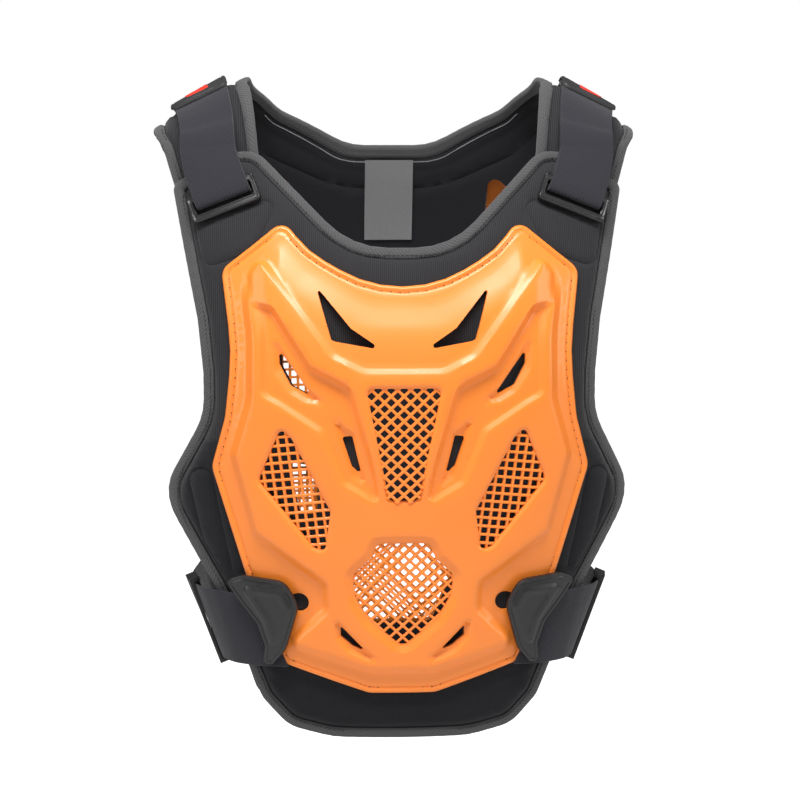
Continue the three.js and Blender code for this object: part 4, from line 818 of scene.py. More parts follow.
def shell_top(flat):
    across, down = np.abs(flat[:, 0]), flat[:, 1]
    inside_body = depth_in(body_ring, flat)
    neckline = NECKLINE + NECKLINE_RISE * ramp(across, *NECKLINE_SIDES)
    upper_chest = ramp(down, neckline - NECKLINE_FADE, neckline + NECKLINE_FADE)
    rise = slope(inside_body, *BODY_BEVEL) * (1 - upper_chest) + ramp(inside_body, *UPPER_RISE) * upper_chest
    level = FLANGE + rim_relief(depth_in(shell_ring, flat)) + (BODY - FLANGE) * rise
    for ring in channel_rings:
        sunk = slope(depth_in(ring, flat), *CHANNEL_BEVEL)
        level = level * (1 - sunk) + CHANNEL * sunk
    level = level - (BODY - CHANNEL) * slope(depth_in(shield_ring, flat), *SHIELD_BEVEL)
    for ring in side_windows:
        level = level - WINDOW_DROP * slope(depth_in(ring, flat), *WINDOW_BEVEL)
    raised = slope(depth_in(collar_ring, flat), *COLLAR_BEVEL)
    faded = ramp(down, *COLLAR_FADE) * (1 - ramp(across, *COLLAR_ENDS))
    level = level * (1 - raised) + (BODY + (COLLAR - BODY) * faded) * raised
    for ring in pit_rings:
        level = level - PIT_DROP * slope(depth_in(ring, flat), *PIT_BEVEL)
    level = level - COLUMN_DROP * slope(depth_in(column_ring, flat), *WINDOW_BEVEL)
    for hole in round_holes:
        level = level - HOLE_DROP * ramp(depth_in(hole, flat), *HOLE_BEVEL)
    return level


def shell_bottom(flat):
    return np.maximum(shell_top(flat) - SHELL_WALL, SHELL_SEAT)


shell_lines = [
    *rings_at(shell_corners, 0.4, 0.9, 1.4, LIP_PLACE, 2.8, 3.5, GROOVE_PLACE, 5.1, 5.9),
    *rings_at(body_corners, *crease(*BODY_BEVEL)),
    *rings_at(collar_corners, *crease(*COLLAR_BEVEL)),
    *rings_at(shield_corners, *(SHIELD_SHRINK + depth for depth in crease(*SHIELD_BEVEL))),
    *rings_at(column_corners, *crease(WINDOW_BEVEL[0])),
    *rings_at(channel_corners, *crease(*CHANNEL_BEVEL), paired=True),
    *rings_at(side_corners, *(WINDOW_SHRINK + depth for depth in crease(WINDOW_BEVEL[0])), paired=True),
]
for corners in PITS:
    shell_lines += rings_at(corners, *crease(*PIT_BEVEL), paired=True)
print("lines drawn across the shell:", len(shell_lines))

# %% The chest shell
shell_openings = [column_ring, shield_ring, *side_windows, *vents, *round_holes]
panel(
    "chest_shell", shell_ring, shell_openings, shell_lines, 3.0, on_chest, shell_top, shell_bottom,
    SHELL_PLASTIC, "shell", ["front_shell"],
)

# %% [markdown]
# ## The moulded nets
# Air passes through nets that are moulded with the shell. In the column and the lower shield the
# bars cross at 45 degrees and leave diamonds. In the side windows they leave rounded squares. Each
# bar is a bevelled strip that swells at each crossing and ends inside the window's wall.

# %% Nets of the chest shell
COLUMN_BAR = 1.95
SIDE_BAR = 1.8
SHIELD_BAR = 1.7
DIAMOND_PITCH, SQUARE_PITCH = 6.06, 6.0
NET_THICKNESS, NET_DROP, SHIELD_NET_DROP = 2.2, 2.0, 0.3
DIAGONAL, SIDE_NET_TURN = math.pi / 4, math.radians(7)

moulded_nets("chest_nets", [
    (column_ring, DIAMOND_PITCH, DIAGONAL, COLUMN_BAR, COLLAR - NET_DROP, NET_THICKNESS),
    (side_windows[0], SQUARE_PITCH, -SIDE_NET_TURN, SIDE_BAR, BODY - NET_DROP, NET_THICKNESS),
    (side_windows[1], SQUARE_PITCH, SIDE_NET_TURN, SIDE_BAR, BODY - NET_DROP, NET_THICKNESS),
    (shield_ring, DIAMOND_PITCH, DIAGONAL, SHIELD_BAR, CHANNEL - SHIELD_NET_DROP, NET_THICKNESS),
], on_chest, SHELL_PLASTIC, "shell")

# %% [markdown]
# ## The front pad
# The pad is foam between two knitted faces. It is thin under the bound edge and swells inside it.
# Pressed lines mark the shoulders, the wings and the hem. The wings, the tail and the inner face
# wear a smoother cloth, and its darker colour is partly painted shade for these low and inner parts.
# The windows of the shell go on through the pad.

# %% Front pad
PAD_HALF_WIDTH = 162
PAD_TOP = -40.5
PAD_HEIGHT = 419
PAD_THICKNESS = 9.5
PAD_EDGE = 5.4
TAPE_WIDTH = 7.5
PAD_INSET = 6.6
PAD_WINDOW_MARGIN = 2
# where the pad starts to swell, and the pressed line beside the tape: place, depth and half width
SWELL_STARTS, SWELL_ENDS, INNER_SWELL_ENDS, INNER_EDGE = 7.0, 15, 12, 2.4
PRESSED_PLACE, PRESSED_HALF = 8.4, 1.0
PRESSED_LINES = (7.6, PRESSED_PLACE, 9.2, 11)
HEM_STARTS, HEM_LINES, HEM_HALF = (395, 412), (8, 17), 3
PAD_ROWS = [
    (0.216, 0.162, 60), (0.623, 0.0, 25), (0.728, 0.0, 30), (0.991, 0.056, 8), (0.852, 0.326, 200),
    (0.849, 0.443, 50), (1.038, 0.585, 36), (0.802, 0.746, 60), (0.602, 0.937, 18), (0.488, 0.984, 25),
    (0.296, 1.0, 60),
]
SHOULDER_PATCH = [(143.0, -92.0, 5), (84.0, -74.0, 6), (101.0, -112.0, 12), (136.0, -124.0, 8)]
# the smoother cloth of the wings and the tail, painted darker partly as shade on the lower pad
WING_KNIT_AND_SHADE = [
    (100.0, -236.0, 8), (128.0, -246.0, 12), (160.0, -240.0, 8), (190.0, -290.0, 8), (100.0, -470.0, 8),
    (-1.0, -470.0, 0.3), (-1.0, -400.0, 0.3), (80.0, -380.0, 8),
]
SEAMLESS_HALF = 60
WING_PANEL = [
    (131.0, -262.0, 10), (147.0, -268.0, 10), (136.0, -318.0, 14), (112.0, -357.0, 8), (124.0, -300.0, 14),
]

pad_corners = whole(charted(PAD_ROWS, PAD_HALF_WIDTH, PAD_TOP, PAD_HEIGHT))
pad_ring = rounded(pad_corners)
patch_rings, wing_rings, smooth_shade_painted_rings = (
    rings_at(corners, 0, paired=True) for corners in (SHOULDER_PATCH, WING_PANEL, WING_KNIT_AND_SHADE)
)


def pad_top(flat):
    depth = depth_in(pad_ring, flat)
    level = PAD_EDGE + (PAD_THICKNESS - PAD_EDGE) * ramp(depth, SWELL_STARTS, SWELL_ENDS)
    level = level - 0.8 * ridge(depth, PRESSED_PLACE, PRESSED_HALF)
    for ring in patch_rings:
        inside = depth_in(ring, flat)
        level = level - 1.1 * ridge(inside, 0, 1.7) + 0.5 * ramp(inside, 1.5, 5)
    for ring in wing_rings:
        inside = depth_in(ring, flat)
        level = level - 1.0 * ridge(inside, 0, 1.8) + 0.8 * ramp(inside, 0.5, 5)
    for ring in smooth_shade_painted_rings:
        level = level - 0.6 * ridge(depth_in(ring, flat), 0, 1.6) * (np.abs(flat[:, 0]) > SEAMLESS_HALF)
    outside_shell = -depth_in(shell_ring, flat)
    hem = sum(ridge(outside_shell, place, HEM_HALF) for place in HEM_LINES)
    return level - 0.8 * ramp(-flat[:, 1], *HEM_STARTS) * hem


def pad_bottom(flat):
    return INNER_EDGE * (1 - ramp(depth_in(pad_ring, flat), SWELL_STARTS, INNER_SWELL_ENDS))


# faces of the smoother knit, which is darker partly as painted shade
def in_smooth_shade_painted_areas(centres):
    return np.any([depth_in(ring, centres) > 0 for ring in smooth_shade_painted_rings], axis=0)


pad_holes = rings_at(column_corners, -PAD_WINDOW_MARGIN) + rings_at(shield_corners, -PAD_WINDOW_MARGIN)
for corners in (side_corners, vent_corners[1], vent_corners[3]):
    pad_holes += rings_at(corners, -PAD_WINDOW_MARGIN, paired=True)
pad_lines = rings_at(pad_corners, *PRESSED_LINES, 13)
for corners, step in ((SHOULDER_PATCH, 1.5), (WING_PANEL, 1.6), (WING_KNIT_AND_SHADE, 1.5)):
    pad_lines += rings_at(corners, step, 0, -step, paired=True)
chest_pad = panel(
    "chest_pad", rounded(pad_corners, -PAD_INSET), pad_holes, pad_lines, 4.0, on_chest, pad_top, pad_bottom,
    PAD_KNIT, "foam", ["front_pad"], second=(SMOOTH_KNIT_AND_SHADE, in_smooth_shade_painted_areas),
)

# %% [markdown]
# ## The bound edge
# A woven tape is folded over the pad's edge and sewn through. It is drawn as one rounded section
# carried all the way round the outline, a little thicker than the foam that it presses flat. Small
# puckers come from the sewing.

# %% Bound edge of the front pad
EDGE_LOW, EDGE_HIGH = 1.0, 6.6


def tape_section(width, low, high):
    """Rounded section of a folded tape, as (inward, out) points round it."""
    mid, half = (low + high) / 2, (high - low) / 2
    bow = [
        (0.75 * half * (1 - math.cos(angle)), mid + half * math.sin(angle))
        for angle in np.linspace(-math.pi / 2, math.pi / 2, 11)
    ]
    upper = [(width * 0.6, high + 0.25), (width * 0.85, high - 0.1), (width, high - 1.0)]
    lower = [(width, low + 1.0), (width * 0.85, low + 0.1), (width * 0.6, low - 0.1)]
    return bow + upper + lower


TAPE_SECTION = tape_section(TAPE_WIDTH, EDGE_LOW, EDGE_HIGH)
chest_edge = swept_ring(
    "chest_edge", resampled(pad_ring, 2.0), TAPE_SECTION, on_chest, EDGE_TAPE, "tape", ["front_binding"],
)

# %% [markdown]
# ## The back
# The back sheet is one pattern with the shoulder flaps. It runs up the back, over the shoulders and
# down behind the front pad. The shell on it is plainer than the one in front. The photograph hides
# it, so its lines follow the usual kind.

# %% Back outlines
BACK_HALF_WIDTH = 178
BACK_HEIGHT = 475
FLAP_REACH = 42
BACK_THICKNESS = 8
BACK_SHELL_HALF_WIDTH = 112
BACK_SHELL_TOP = 40
BACK_SHELL_HEIGHT = 392
FLAP_ROWS = [
    (0.18, 0.031, 60), (0.472, 0.154, 30), (0.584, 0.276, 25), (0.612, 0.47, 60), (0.584, 0.68, 60),
    (0.539, 1.0, 8), (0.888, 1.0, 8), (0.995, 0.67, 60), (0.995, 0.31, 60), (0.96, 0.05, 60),
]
BACK_ROWS = [
    (0.77, 0.275, 60), (0.753, 0.474, 80), (0.787, 0.62, 40), (0.719, 0.79, 30), (0.573, 0.963, 20),
    (0.478, 1.0, 20),
]
BACK_SHELL_ROWS = [
    (0.25, 0.072, 40), (0.55, 0.03, 20), (0.8, -0.01, 10), (1.0, 0.09, 10), (0.93, 0.34, 80),
    (1.0, 0.56, 20), (0.7, 0.76, 20), (0.6, 0.95, 14), (0.22, 1.0, 14),
]
BACK_BODY_ROWS = [
    (0.22, 0.12, 20), (0.76, 0.05, 10), (0.84, 0.12, 10), (0.76, 0.34, 40), (0.84, 0.54, 20),
    (0.56, 0.74, 20), (0.5, 0.92, 10), (0.2, 0.955, 10),
]
BACK_UPPER_ROWS = [(0.4, 0.42, 4), (0.76, 0.4, 6), (0.74, 0.5, 6), (0.44, 0.52, 4)]
BACK_SIDE_ROWS = [(0.5, 0.63, 4), (0.68, 0.62, 4), (0.6, 0.72, 4), (0.5, 0.72, 4)]
BACK_TAIL_ROWS = [(0.4, 0.745, 6), (0.42, 0.85, 8), (0.28, 0.94, 8)]
BACK_VENT_ROWS = [(0.7, 0.05, 4), (0.86, 0.09, 6), (0.84, 0.17, 6), (0.68, 0.15, 4)]


def on_back_shell_chart(rows):
    return charted(rows, BACK_SHELL_HALF_WIDTH, ARCH_FOOT_BACK - BACK_SHELL_TOP, BACK_SHELL_HEIGHT)


flap_corners = charted(FLAP_ROWS, BACK_HALF_WIDTH, 0, -(ARCH_LENGTH + FLAP_REACH))
sheet_corners = whole(flap_corners + charted(BACK_ROWS, BACK_HALF_WIDTH, ARCH_FOOT_BACK, BACK_HEIGHT))
sheet_ring = rounded(sheet_corners)
back_shell_corners = whole(on_back_shell_chart(BACK_SHELL_ROWS))
back_body_corners = whole(on_back_shell_chart(BACK_BODY_ROWS))
upper_corners, low_side_corners, back_vent_corners = (
    on_back_shell_chart(rows) for rows in (BACK_UPPER_ROWS, BACK_SIDE_ROWS, BACK_VENT_ROWS)
)
tail_corners = whole(on_back_shell_chart(BACK_TAIL_ROWS))
back_windows = rings_at(upper_corners, 0, paired=True) + rings_at(low_side_corners, 0, paired=True)
back_windows.append(rounded(tail_corners))
print("windows of the back shell:", len(back_windows))

# %% Back pad and its bound edge
BACK_EDGE, BACK_SWELL_ENDS, BACK_INNER_EDGE, BACK_INNER_ENDS = 5.0, 14, 2.2, 11
NECK_SEAM, NECK_SEAM_HALF = 16.0, 1.6
INNER_FOAM, INNER_FOAM_HALF = 30.0, 2.4


def back_pad_top(flat):
    depth = depth_in(sheet_ring, flat)
    level = BACK_EDGE + (BACK_THICKNESS - BACK_EDGE) * ramp(depth, SWELL_STARTS, BACK_SWELL_ENDS)
    level = level - 0.7 * ridge(depth, PRESSED_PLACE, PRESSED_HALF)
    return level - 0.5 * ridge(depth, NECK_SEAM, NECK_SEAM_HALF)


def back_pad_bottom(flat):
    depth = depth_in(sheet_ring, flat)
    pressed = 0.6 * ridge(depth, NECK_SEAM, NECK_SEAM_HALF) + 1.5 * ridge(depth, INNER_FOAM, INNER_FOAM_HALF)
    return BACK_INNER_EDGE * (1 - ramp(depth, SWELL_STARTS, BACK_INNER_ENDS)) + pressed


back_pad_holes = rings_at(tail_corners, -PAD_WINDOW_MARGIN)
for corners in (upper_corners, low_side_corners, back_vent_corners):
    back_pad_holes += rings_at(corners, -PAD_WINDOW_MARGIN, paired=True)
# its inner face wears the smoother knit, darker partly as painted shade
back_padding = panel(
    "back_padding", rounded(sheet_corners, -PAD_INSET), back_pad_holes,
    rings_at(sheet_corners, *PRESSED_LINES, 14, NECK_SEAM, 18, 28.6, INNER_FOAM, 31.4), 5.0, on_sheet,
    back_pad_top, back_pad_bottom, PAD_KNIT, "foam", ["back_pad"],
    second=(SMOOTH_KNIT_AND_SHADE, lambda centres: np.zeros(len(centres))),
)
back_edge = swept_ring(
    "back_edge", resampled(sheet_ring, 2.5), TAPE_SECTION, on_sheet, EDGE_TAPE, "tape", ["back_binding"],
)

# %% Back shell and its nets
BACK_SEAT = BACK_THICKNESS + 0.7
BACK_FLANGE = BACK_SEAT + SHELL_WALL
BACK_BODY = BACK_FLANGE + 2.5
SPINE_RISE, SPINE_BEVEL = 1.6, (0, 3)
RIB_DROP, RIB_BEVEL = 1.2, (0, 2.4)
BACK_WINDOW_DROP, BACK_WINDOW_BEVEL = 0.8, (-3.4, -2.2)
BACK_NET_DROP, BACK_NET_THICKNESS = 1.2, 2.0
BACK_SPINE_ROWS = [(0.1, 0.1, 8), (0.16, 0.5, 12), (0.08, 0.7, 8)]
BACK_RIB_ROWS = [(0.26, 0.2, 6), (0.66, 0.12, 6), (0.62, 0.3, 10), (0.28, 0.36, 6)]
spine_corners, rib_corners = whole(on_back_shell_chart(BACK_SPINE_ROWS)), on_back_shell_chart(BACK_RIB_ROWS)
back_shell_ring, back_body_ring, spine_ring = (
    rounded(corners) for corners in (back_shell_corners, back_body_corners, spine_corners)
)
back_ribs = rings_at(rib_corners, 0, paired=True)


def back_shell_top(flat):
    level = BACK_FLANGE + rim_relief(depth_in(back_shell_ring, flat))
    level = level + (BACK_BODY - BACK_FLANGE) * slope(depth_in(back_body_ring, flat), *BODY_BEVEL)
    level = level + SPINE_RISE * ramp(depth_in(spine_ring, flat), *SPINE_BEVEL)
    for ring in back_ribs:
        level = level - RIB_DROP * ramp(depth_in(ring, flat), *RIB_BEVEL)
    for ring in back_windows:
        level = level - BACK_WINDOW_DROP * ramp(depth_in(ring, flat), *BACK_WINDOW_BEVEL)
    return level


def back_shell_bottom(flat):
    return np.maximum(back_shell_top(flat) - SHELL_WALL, BACK_SEAT)


back_lines = [
    *rings_at(back_shell_corners, 0.6, 1.4, LIP_PLACE, 2.9, 3.6, 4.6, 5.7),
    *rings_at(back_body_corners, *crease(*BODY_BEVEL)),
    *rings_at(spine_corners, *SPINE_BEVEL),
    *rings_at(rib_corners, *RIB_BEVEL, paired=True),
    *rings_at(upper_corners, -2.8, paired=True),
    *rings_at(low_side_corners, -2.8, paired=True),
]
panel(
    "back_plate", back_shell_ring, back_windows, back_lines, 4.0, on_sheet, back_shell_top,
    back_shell_bottom, SHELL_PLASTIC, "shell", ["back_shell"],
)
back_net_kinds = [(SQUARE_PITCH, 0.0)] * 4 + [(DIAMOND_PITCH, DIAGONAL)]
moulded_nets("back_nets", [
    (ring, pitch, turn, SIDE_BAR, BACK_BODY - BACK_NET_DROP, BACK_NET_THICKNESS)
    for ring, (pitch, turn) in zip(back_windows, back_net_kinds)
], on_sheet, SHELL_PLASTIC, "shell")

# %% [markdown]
# ## Shoulder straps
# A flat strap comes over each shoulder, folds round the bar of a ring on the front pad and comes
# back over itself to a rubber pull tab. Its side view is a short line of (along, out) points.

# %% The strap's route
STRAP_WIDTH = 38
EXTRA_LAYER = 2.2
STRAP_CREST = 139
STRAP_ROWS = [(0.878, 1.247), (0.957, 1.04), (0.993, 0.733), (1.0, 0.5), (1.0, 0.0), (1.0, -0.1)]
FLAP_LEVEL, TAPE_LEVEL, PAD_LEVEL, RING_LEVEL = 9.7, 17.4, 19.9, 25.2
STRAP_SIDE_VIEW = [
    (190, FLAP_LEVEL), (57, FLAP_LEVEL), (45, TAPE_LEVEL), (22, PAD_LEVEL), (-0.9, PAD_LEVEL), (-3.2, 22.55),
    (-0.9, RING_LEVEL), (9, RING_LEVEL), (45, TAPE_LEVEL + 3.2), (58, FLAP_LEVEL + EXTRA_LAYER),
    (126, FLAP_LEVEL + EXTRA_LAYER),
]


def smooth_route(points, count=60):
    """Even points on a smooth curve through the given points, and how far along it each one is."""
    points = np.array(points, float)
    ends = np.vstack([2 * points[0] - points[1], points, 2 * points[-1] - points[-2]])
    route = []
    for k in range(1, len(ends) - 2):
        p0, p1, p2, p3 = ends[k - 1], ends[k], ends[k + 1], ends[k + 2]
        for t in np.linspace(0, 1, 40, endpoint=False):
            route.append(
                p1 + (p2 - p0) * t / 2 + (2 * p0 - 5 * p1 + 4 * p2 - p3) * t**2 / 2
                + (3 * p1 - 3 * p2 + p3 - p0) * t**3 / 2
            )
    route.append(points[-1])
    route = np.array(route)
    lengths = run_lengths(route)
    stations = np.linspace(0, lengths[-1], count)
    columns = [np.interp(stations, lengths, column) for column in route.T]
    return np.column_stack(columns), stations


strap_route, strap_stations = smooth_route([(a * STRAP_CREST, b * ARCH_LENGTH) for a, b in STRAP_ROWS])
strap_heading = unit(np.gradient(strap_route, axis=0))


def shoulder_place(side):
    """Lays (along, across, out) of a shoulder strap on the back sheet, at one side."""
    def place(along, across, out):
        x = np.interp(along, strap_stations, strap_route[:, 0])
        y = np.interp(along, strap_stations, strap_route[:, 1])
        hx = np.interp(along, strap_stations, strap_heading[:, 0])
        hy = np.interp(along, strap_stations, strap_heading[:, 1])
        before = np.minimum(along, 0)
        x, y = x + hx * before - across * hy, y + hy * before + across * hx
        return on_sheet(side * x, y, out)
    return place


# %% Straps, rings and pull tabs
RING_HALF, RING_SLOT_HALF = 23.9, 20.2
RING_LOW, RING_TOP, RING_UNDER = 18.6, 23.9, 21.2
RING_CORNERS = rectangle(-11.4, -RING_HALF, 8.6, RING_HALF, 3)
RING_SLOT = rectangle(-6.6, -RING_SLOT_HALF, 3, RING_SLOT_HALF, 1.2)
RING_ROUND, RING_STEP = (0, 0.7), (1.1, 1.7)
TAB_HALF = 20.2
TAB_CORNERS = rectangle(84.5, -TAB_HALF, 128.5, TAB_HALF, 5)
TAB_FLOOR, TAB_TOP = 13.2, 15.6
TAB_LINE, TAB_LINE_HALF, GRIP_START, GRIP_PITCH = 2.8, 0.6, 117, 3.2
TAB_INSET = [(92, -9, 3), (106, -6, 2), (112, -9, 3), (108, 10, 3), (96, 8, 4)]
INSET_RISE, INSET_SUNK = 0.45, 0.6


def rounded_top(ring, top, radius, extra=None):
    """Height function of a moulded plate with rounded edges."""
    def level(flat):
        depth = np.clip(depth_in(ring, flat) / radius, 0, 1)
        height = top - radius * (1 - np.sqrt(1 - (1 - depth)**2))
        return height + (extra(flat) if extra else 0)
    return level


def ring_top_height(flat):
    near = np.minimum(depth_in(rounded(RING_CORNERS), flat), -depth_in(rounded(RING_SLOT), flat))
    return RING_TOP - 0.9 * (1 - ramp(near, *RING_ROUND)) - 0.7 * ramp(near, *RING_STEP)


def ring_floor(flat):
    under = (flat[:, 0] > 2) & (np.abs(flat[:, 1]) < RING_SLOT_HALF)
    return np.where(under, RING_UNDER, RING_LOW)


def tab_extra(flat):
    grips = sum(ridge(flat[:, 0], GRIP_START + GRIP_PITCH * k, 0.9) for k in range(3))
    line = ridge(depth_in(rounded(TAB_CORNERS), flat), TAB_LINE, TAB_LINE_HALF)
    return 0.5 * grips * ramp(20 - np.abs(flat[:, 1]), 0, 2) - 0.6 * line


ring_lines = rings_at(RING_CORNERS, 0.35, 0.7, 1.1, 1.7)
ring_lines += rings_at(RING_SLOT, -0.35, -0.7, -1.1, -1.7)
tab_lines = rings_at(TAB_CORNERS, 0.5, 1.4, 2.2, TAB_LINE, 3.4)
tab_ring, inset_ring = rounded(TAB_CORNERS), rounded(TAB_INSET)
for side, word in ((1, "right"), (-1, "left")):
    place, strap_node = shoulder_place(side), "shoulder_strap_" + word
    webbing("shoulder_webbing_" + word, STRAP_SIDE_VIEW, STRAP_WIDTH, place, STRAP_WEAVE, [strap_node])
    panel(
        "strap_loop_" + word, rounded(RING_CORNERS), [rounded(RING_SLOT)], ring_lines, 1.6, place,
        ring_top_height, ring_floor, FITTING, "hardware", ["strap_ring_" + word],
    )
    panel(
        "strap_tab_" + word, tab_ring, [], tab_lines, 1.8, place,
        rounded_top(tab_ring, TAB_TOP, 1.4, tab_extra), TAB_FLOOR, RUBBER, "rubber", ["pull_tab_" + word],
    )
    panel(
        "tab_inset_" + word, inset_ring, [], rings_at(TAB_INSET, 0.6), 1.6, place,
        rounded_top(inset_ring, TAB_TOP + INSET_RISE, 0.5), TAB_TOP - INSET_SUNK, RED_INSET, "rubber",
    )

# %% [markdown]
# ## Side straps
# A wider strap runs from the back pad round the waist and ends under a moulded retainer on the
# front shell. A slider sits on it, so that its length can be set. Seen from above, its route is a
# smooth curve. It also tilts to follow the waist.

# %% Side strap route
SIDE_WIDTH = 57
SIDE_REACH, SIDE_DEPTH, SIDE_DROP = 140, 88, 381
SIDE_ROWS = [
    (0.666, -1.094, 9, 24), (0.751, -1.032, 9, 22), (0.846, -0.926, 11, 16), (0.918, -0.813, 15, 9),
    (0.975, -0.636, 19, 4), (1.0, -0.34, 22, 0), (1.006, 0.0, 22, 0), (0.995, 0.42, 18, 0),
    (0.975, 0.69, 13, 0), (0.845, 0.885, 9, 0), (0.66, 1.01, 8, 0),
]
side_corners_in_space = [(a * SIDE_REACH, b * SIDE_DEPTH, tilt, lean) for a, b, tilt, lean in SIDE_ROWS]
side_route = smooth_route(side_corners_in_space, 90)[0]
flat_lengths = run_lengths(side_route[:, :2])
side_heading = unit(np.gradient(side_route[:, :2], axis=0))


def waist_place(side):
    """Places (along, across, out) of a side strap at the waist, at one side."""
    def place(along, across, out):
        x, y, tilt, lean = (np.interp(along, flat_lengths, side_route[:, k]) for k in range(4))
        hx, hy = (np.interp(along, flat_lengths, side_heading[:, k]) for k in range(2))
        none = np.zeros_like(hx)
        heading = unit(np.column_stack([hx, hy, none]))
        facing = np.column_stack([heading[:, 1], -heading[:, 0], none])
        upright = np.column_stack([none, none, np.ones_like(hx)])
        tilted = upright + np.tan(np.radians(tilt))[:, None] * facing
        width = unit(tilted + np.tan(np.radians(lean))[:, None] * heading)
        normal = np.cross(heading, width)
        spot = np.column_stack([x, y, np.full_like(x, -SIDE_DROP)])
        spot = spot + width * np.asarray(across)[:, None] + normal * np.asarray(out)[:, None]
        return spot * np.array([side, 1, 1])
    return place


side_line = [(s, 0.0) for s in np.linspace(0, flat_lengths[-1], 40)]
print("side strap length", round(flat_lengths[-1]))

# %% Side straps, sliders and retainers
RETAINER_WIDTH, RETAINER_HEIGHT = 47, 64
RETAINER_FLOOR, RETAINER_RIM, RETAINER_STEP = 17.2, 20.2, 1.6
RETAINER_ROWS = [
    (0.76, 0.36, 4), (0.54, 0.43, 5), (-0.06, 0.375, 12), (-0.26, 0.1, 14), (-0.08, -0.42, 20),
    (0.1, -0.61, 4),
    (0.22, -0.58, 2.5), (0.2, -0.375, 6), (0.31, -0.12, 10), (0.6, 0.18, 10),
]
PLATEAU_ROWS = [
    (0.54, 0.31, 3), (-0.03, 0.28, 8), (-0.17, 0.07, 8), (-0.03, -0.28, 6), (0.1, -0.4, 3), (0.21, -0.1, 6),
]
PLATEAU_BEVEL, DISH_BEVEL, DISH_DROP = (-0.8, 1.2), (4.2, 5.2), 0.7
RETAINER_LINE, RETAINER_LINE_HALF = 2.4, 0.7
POST_FLOOR, POST_TOP, POST_RADIUS = 9.85, 17.5, 5


def around_stud(rows, side):
    return [(side * (stud[0] + a * RETAINER_WIDTH), stud[1] + b * RETAINER_HEIGHT, r) for a, b, r in rows]


def bevelled_copy(node, name, width_mm, material, slot):
    """The frame's own solid with its sharp edges rounded."""
    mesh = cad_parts[node].data.copy()
    mesh.name = name
    mesh.materials.clear()
    mesh.materials.append(material)
    piece = in_scene(name, mesh)
    weld = piece.modifiers.new("weld", "WELD")
    weld.merge_threshold = 0.00002
    bevel = piece.modifiers.new("bevel", "BEVEL")
    bevel.width = width_mm / 1000
    bevel.segments = 3
    bevel.limit_method = "ANGLE"
    bevel.angle_limit = math.radians(40)
    shaped = bpy.data.meshes.new_from_object(piece.evaluated_get(bpy.context.evaluated_depsgraph_get()))
    piece.modifiers.clear()
    piece.data = shaped
    shaped.shade_smooth()
    shaped.set_sharp_from_angle(angle=SHARP_ANGLE)
    return belonging(piece, slot, [node])


def retainer_relief(rim_ring, plateau_ring):
    def level(flat):
        inside = depth_in(plateau_ring, flat)
        line = ridge(depth_in(rim_ring, flat), RETAINER_LINE, RETAINER_LINE_HALF)
        raised = RETAINER_STEP * slope(inside, *PLATEAU_BEVEL)
        return raised - 0.5 * line - DISH_DROP * slope(inside, *DISH_BEVEL)
    return level


for side, word in ((1, "right"), (-1, "left")):
    place, strap_node = waist_place(side), "side_strap_" + word
    webbing("waist_webbing_" + word, side_line, SIDE_WIDTH, place, STRAP_WEAVE, [strap_node])
    bevelled_copy("side_slider_" + word, "waist_slider_" + word, 0.7, FITTING, "hardware")
    rim_corners, plateau_corners = around_stud(RETAINER_ROWS, side), around_stud(PLATEAU_ROWS, side)
    rim_ring = rounded(rim_corners)
    retainer_lines = rings_at(rim_corners, 0.4, 1.0, 1.8, RETAINER_LINE, 3.0)
    retainer_lines += rings_at(plateau_corners, -1.2, -0.5, 0.9, 1.5, 4.1, 5.3)
    panel(
        "retainer_plate_" + word, rim_ring, [], retainer_lines, 1.7, on_chest,
        rounded_top(rim_ring, RETAINER_RIM, 1.2, retainer_relief(rim_ring, rounded(plateau_corners))),
        RETAINER_FLOOR, FITTING, "hardware", ["side_retainer_" + word],
    )
    panel(
        "retainer_post_" + word, circle((side * stud[0], stud[1]), POST_RADIUS), [], [], 1.6, on_chest,
        POST_TOP, POST_FLOOR, FITTING, "hardware",
    )

# %% [markdown]
# ## The care label
# A satin label hangs inside the back, sewn in at the neckline. It is bare. It is a thin sheet that
# leaves the pad by a little at its free end.

# %% Care label
LABEL_HALF, LABEL_TOP, LABEL_END = 18.5, -2.0, -63.9
LABEL_CORNERS = rectangle(-LABEL_HALF, LABEL_TOP, LABEL_HALF, LABEL_END, 0.5)
LABEL_THICKNESS = 0.3


def label_lift(flat):
    hanging = (LABEL_TOP - flat[:, 1]) / (LABEL_TOP - LABEL_END)
    return -0.75 - 0.3 * hanging**2 + 0.12 * np.sin(flat[:, 0] / 4.5) * hanging


care_tag = panel(
    "care_tag", rounded(LABEL_CORNERS), [], [], 2.5, on_sheet,
    lambda flat: label_lift(flat) + LABEL_THICKNESS / 2, lambda flat: label_lift(flat) - LABEL_THICKNESS / 2,
    LABEL_SATIN, "label", ["care_label"],
)

# %% [markdown]
# ## Stitches
# Thread is what shows that a soft thing was sewn. A stitch here is a short bent thread whose ends
# go down into the cloth. One row holds each bound edge, a pale row runs round the inside of the
# neck, and one row in each shell's groove holds the shell to its pad. At the start of each of its
# stitches a short dark bead stands for the needle hole: painted shade of the hole.

# %% Stitch rows
SEAM_PLACE = 6.1
EDGE_STITCH = (3.2, 2.3, 0.3)
NECK_STITCH = (2.4, 2.2, 0.42)
SHELL_STITCH = (6.4, 5.2, 0.36)
# pitch, length and radius of the dark beads that stand for the needle holes, as painted shade
HOLE_SHADE_BEADS = (6.4, 1.3, 0.6)
THREAD_RISE, GROOVE_FLOOR = 0.25, 0.85
NECK_ROW, NECK_HALF, NECK_LOW, NECK_HIGH, NECK_LEVEL = 9.6, 97, -40, 60, 0.35


def closed(line):
    return np.vstack([line, line[:1]])


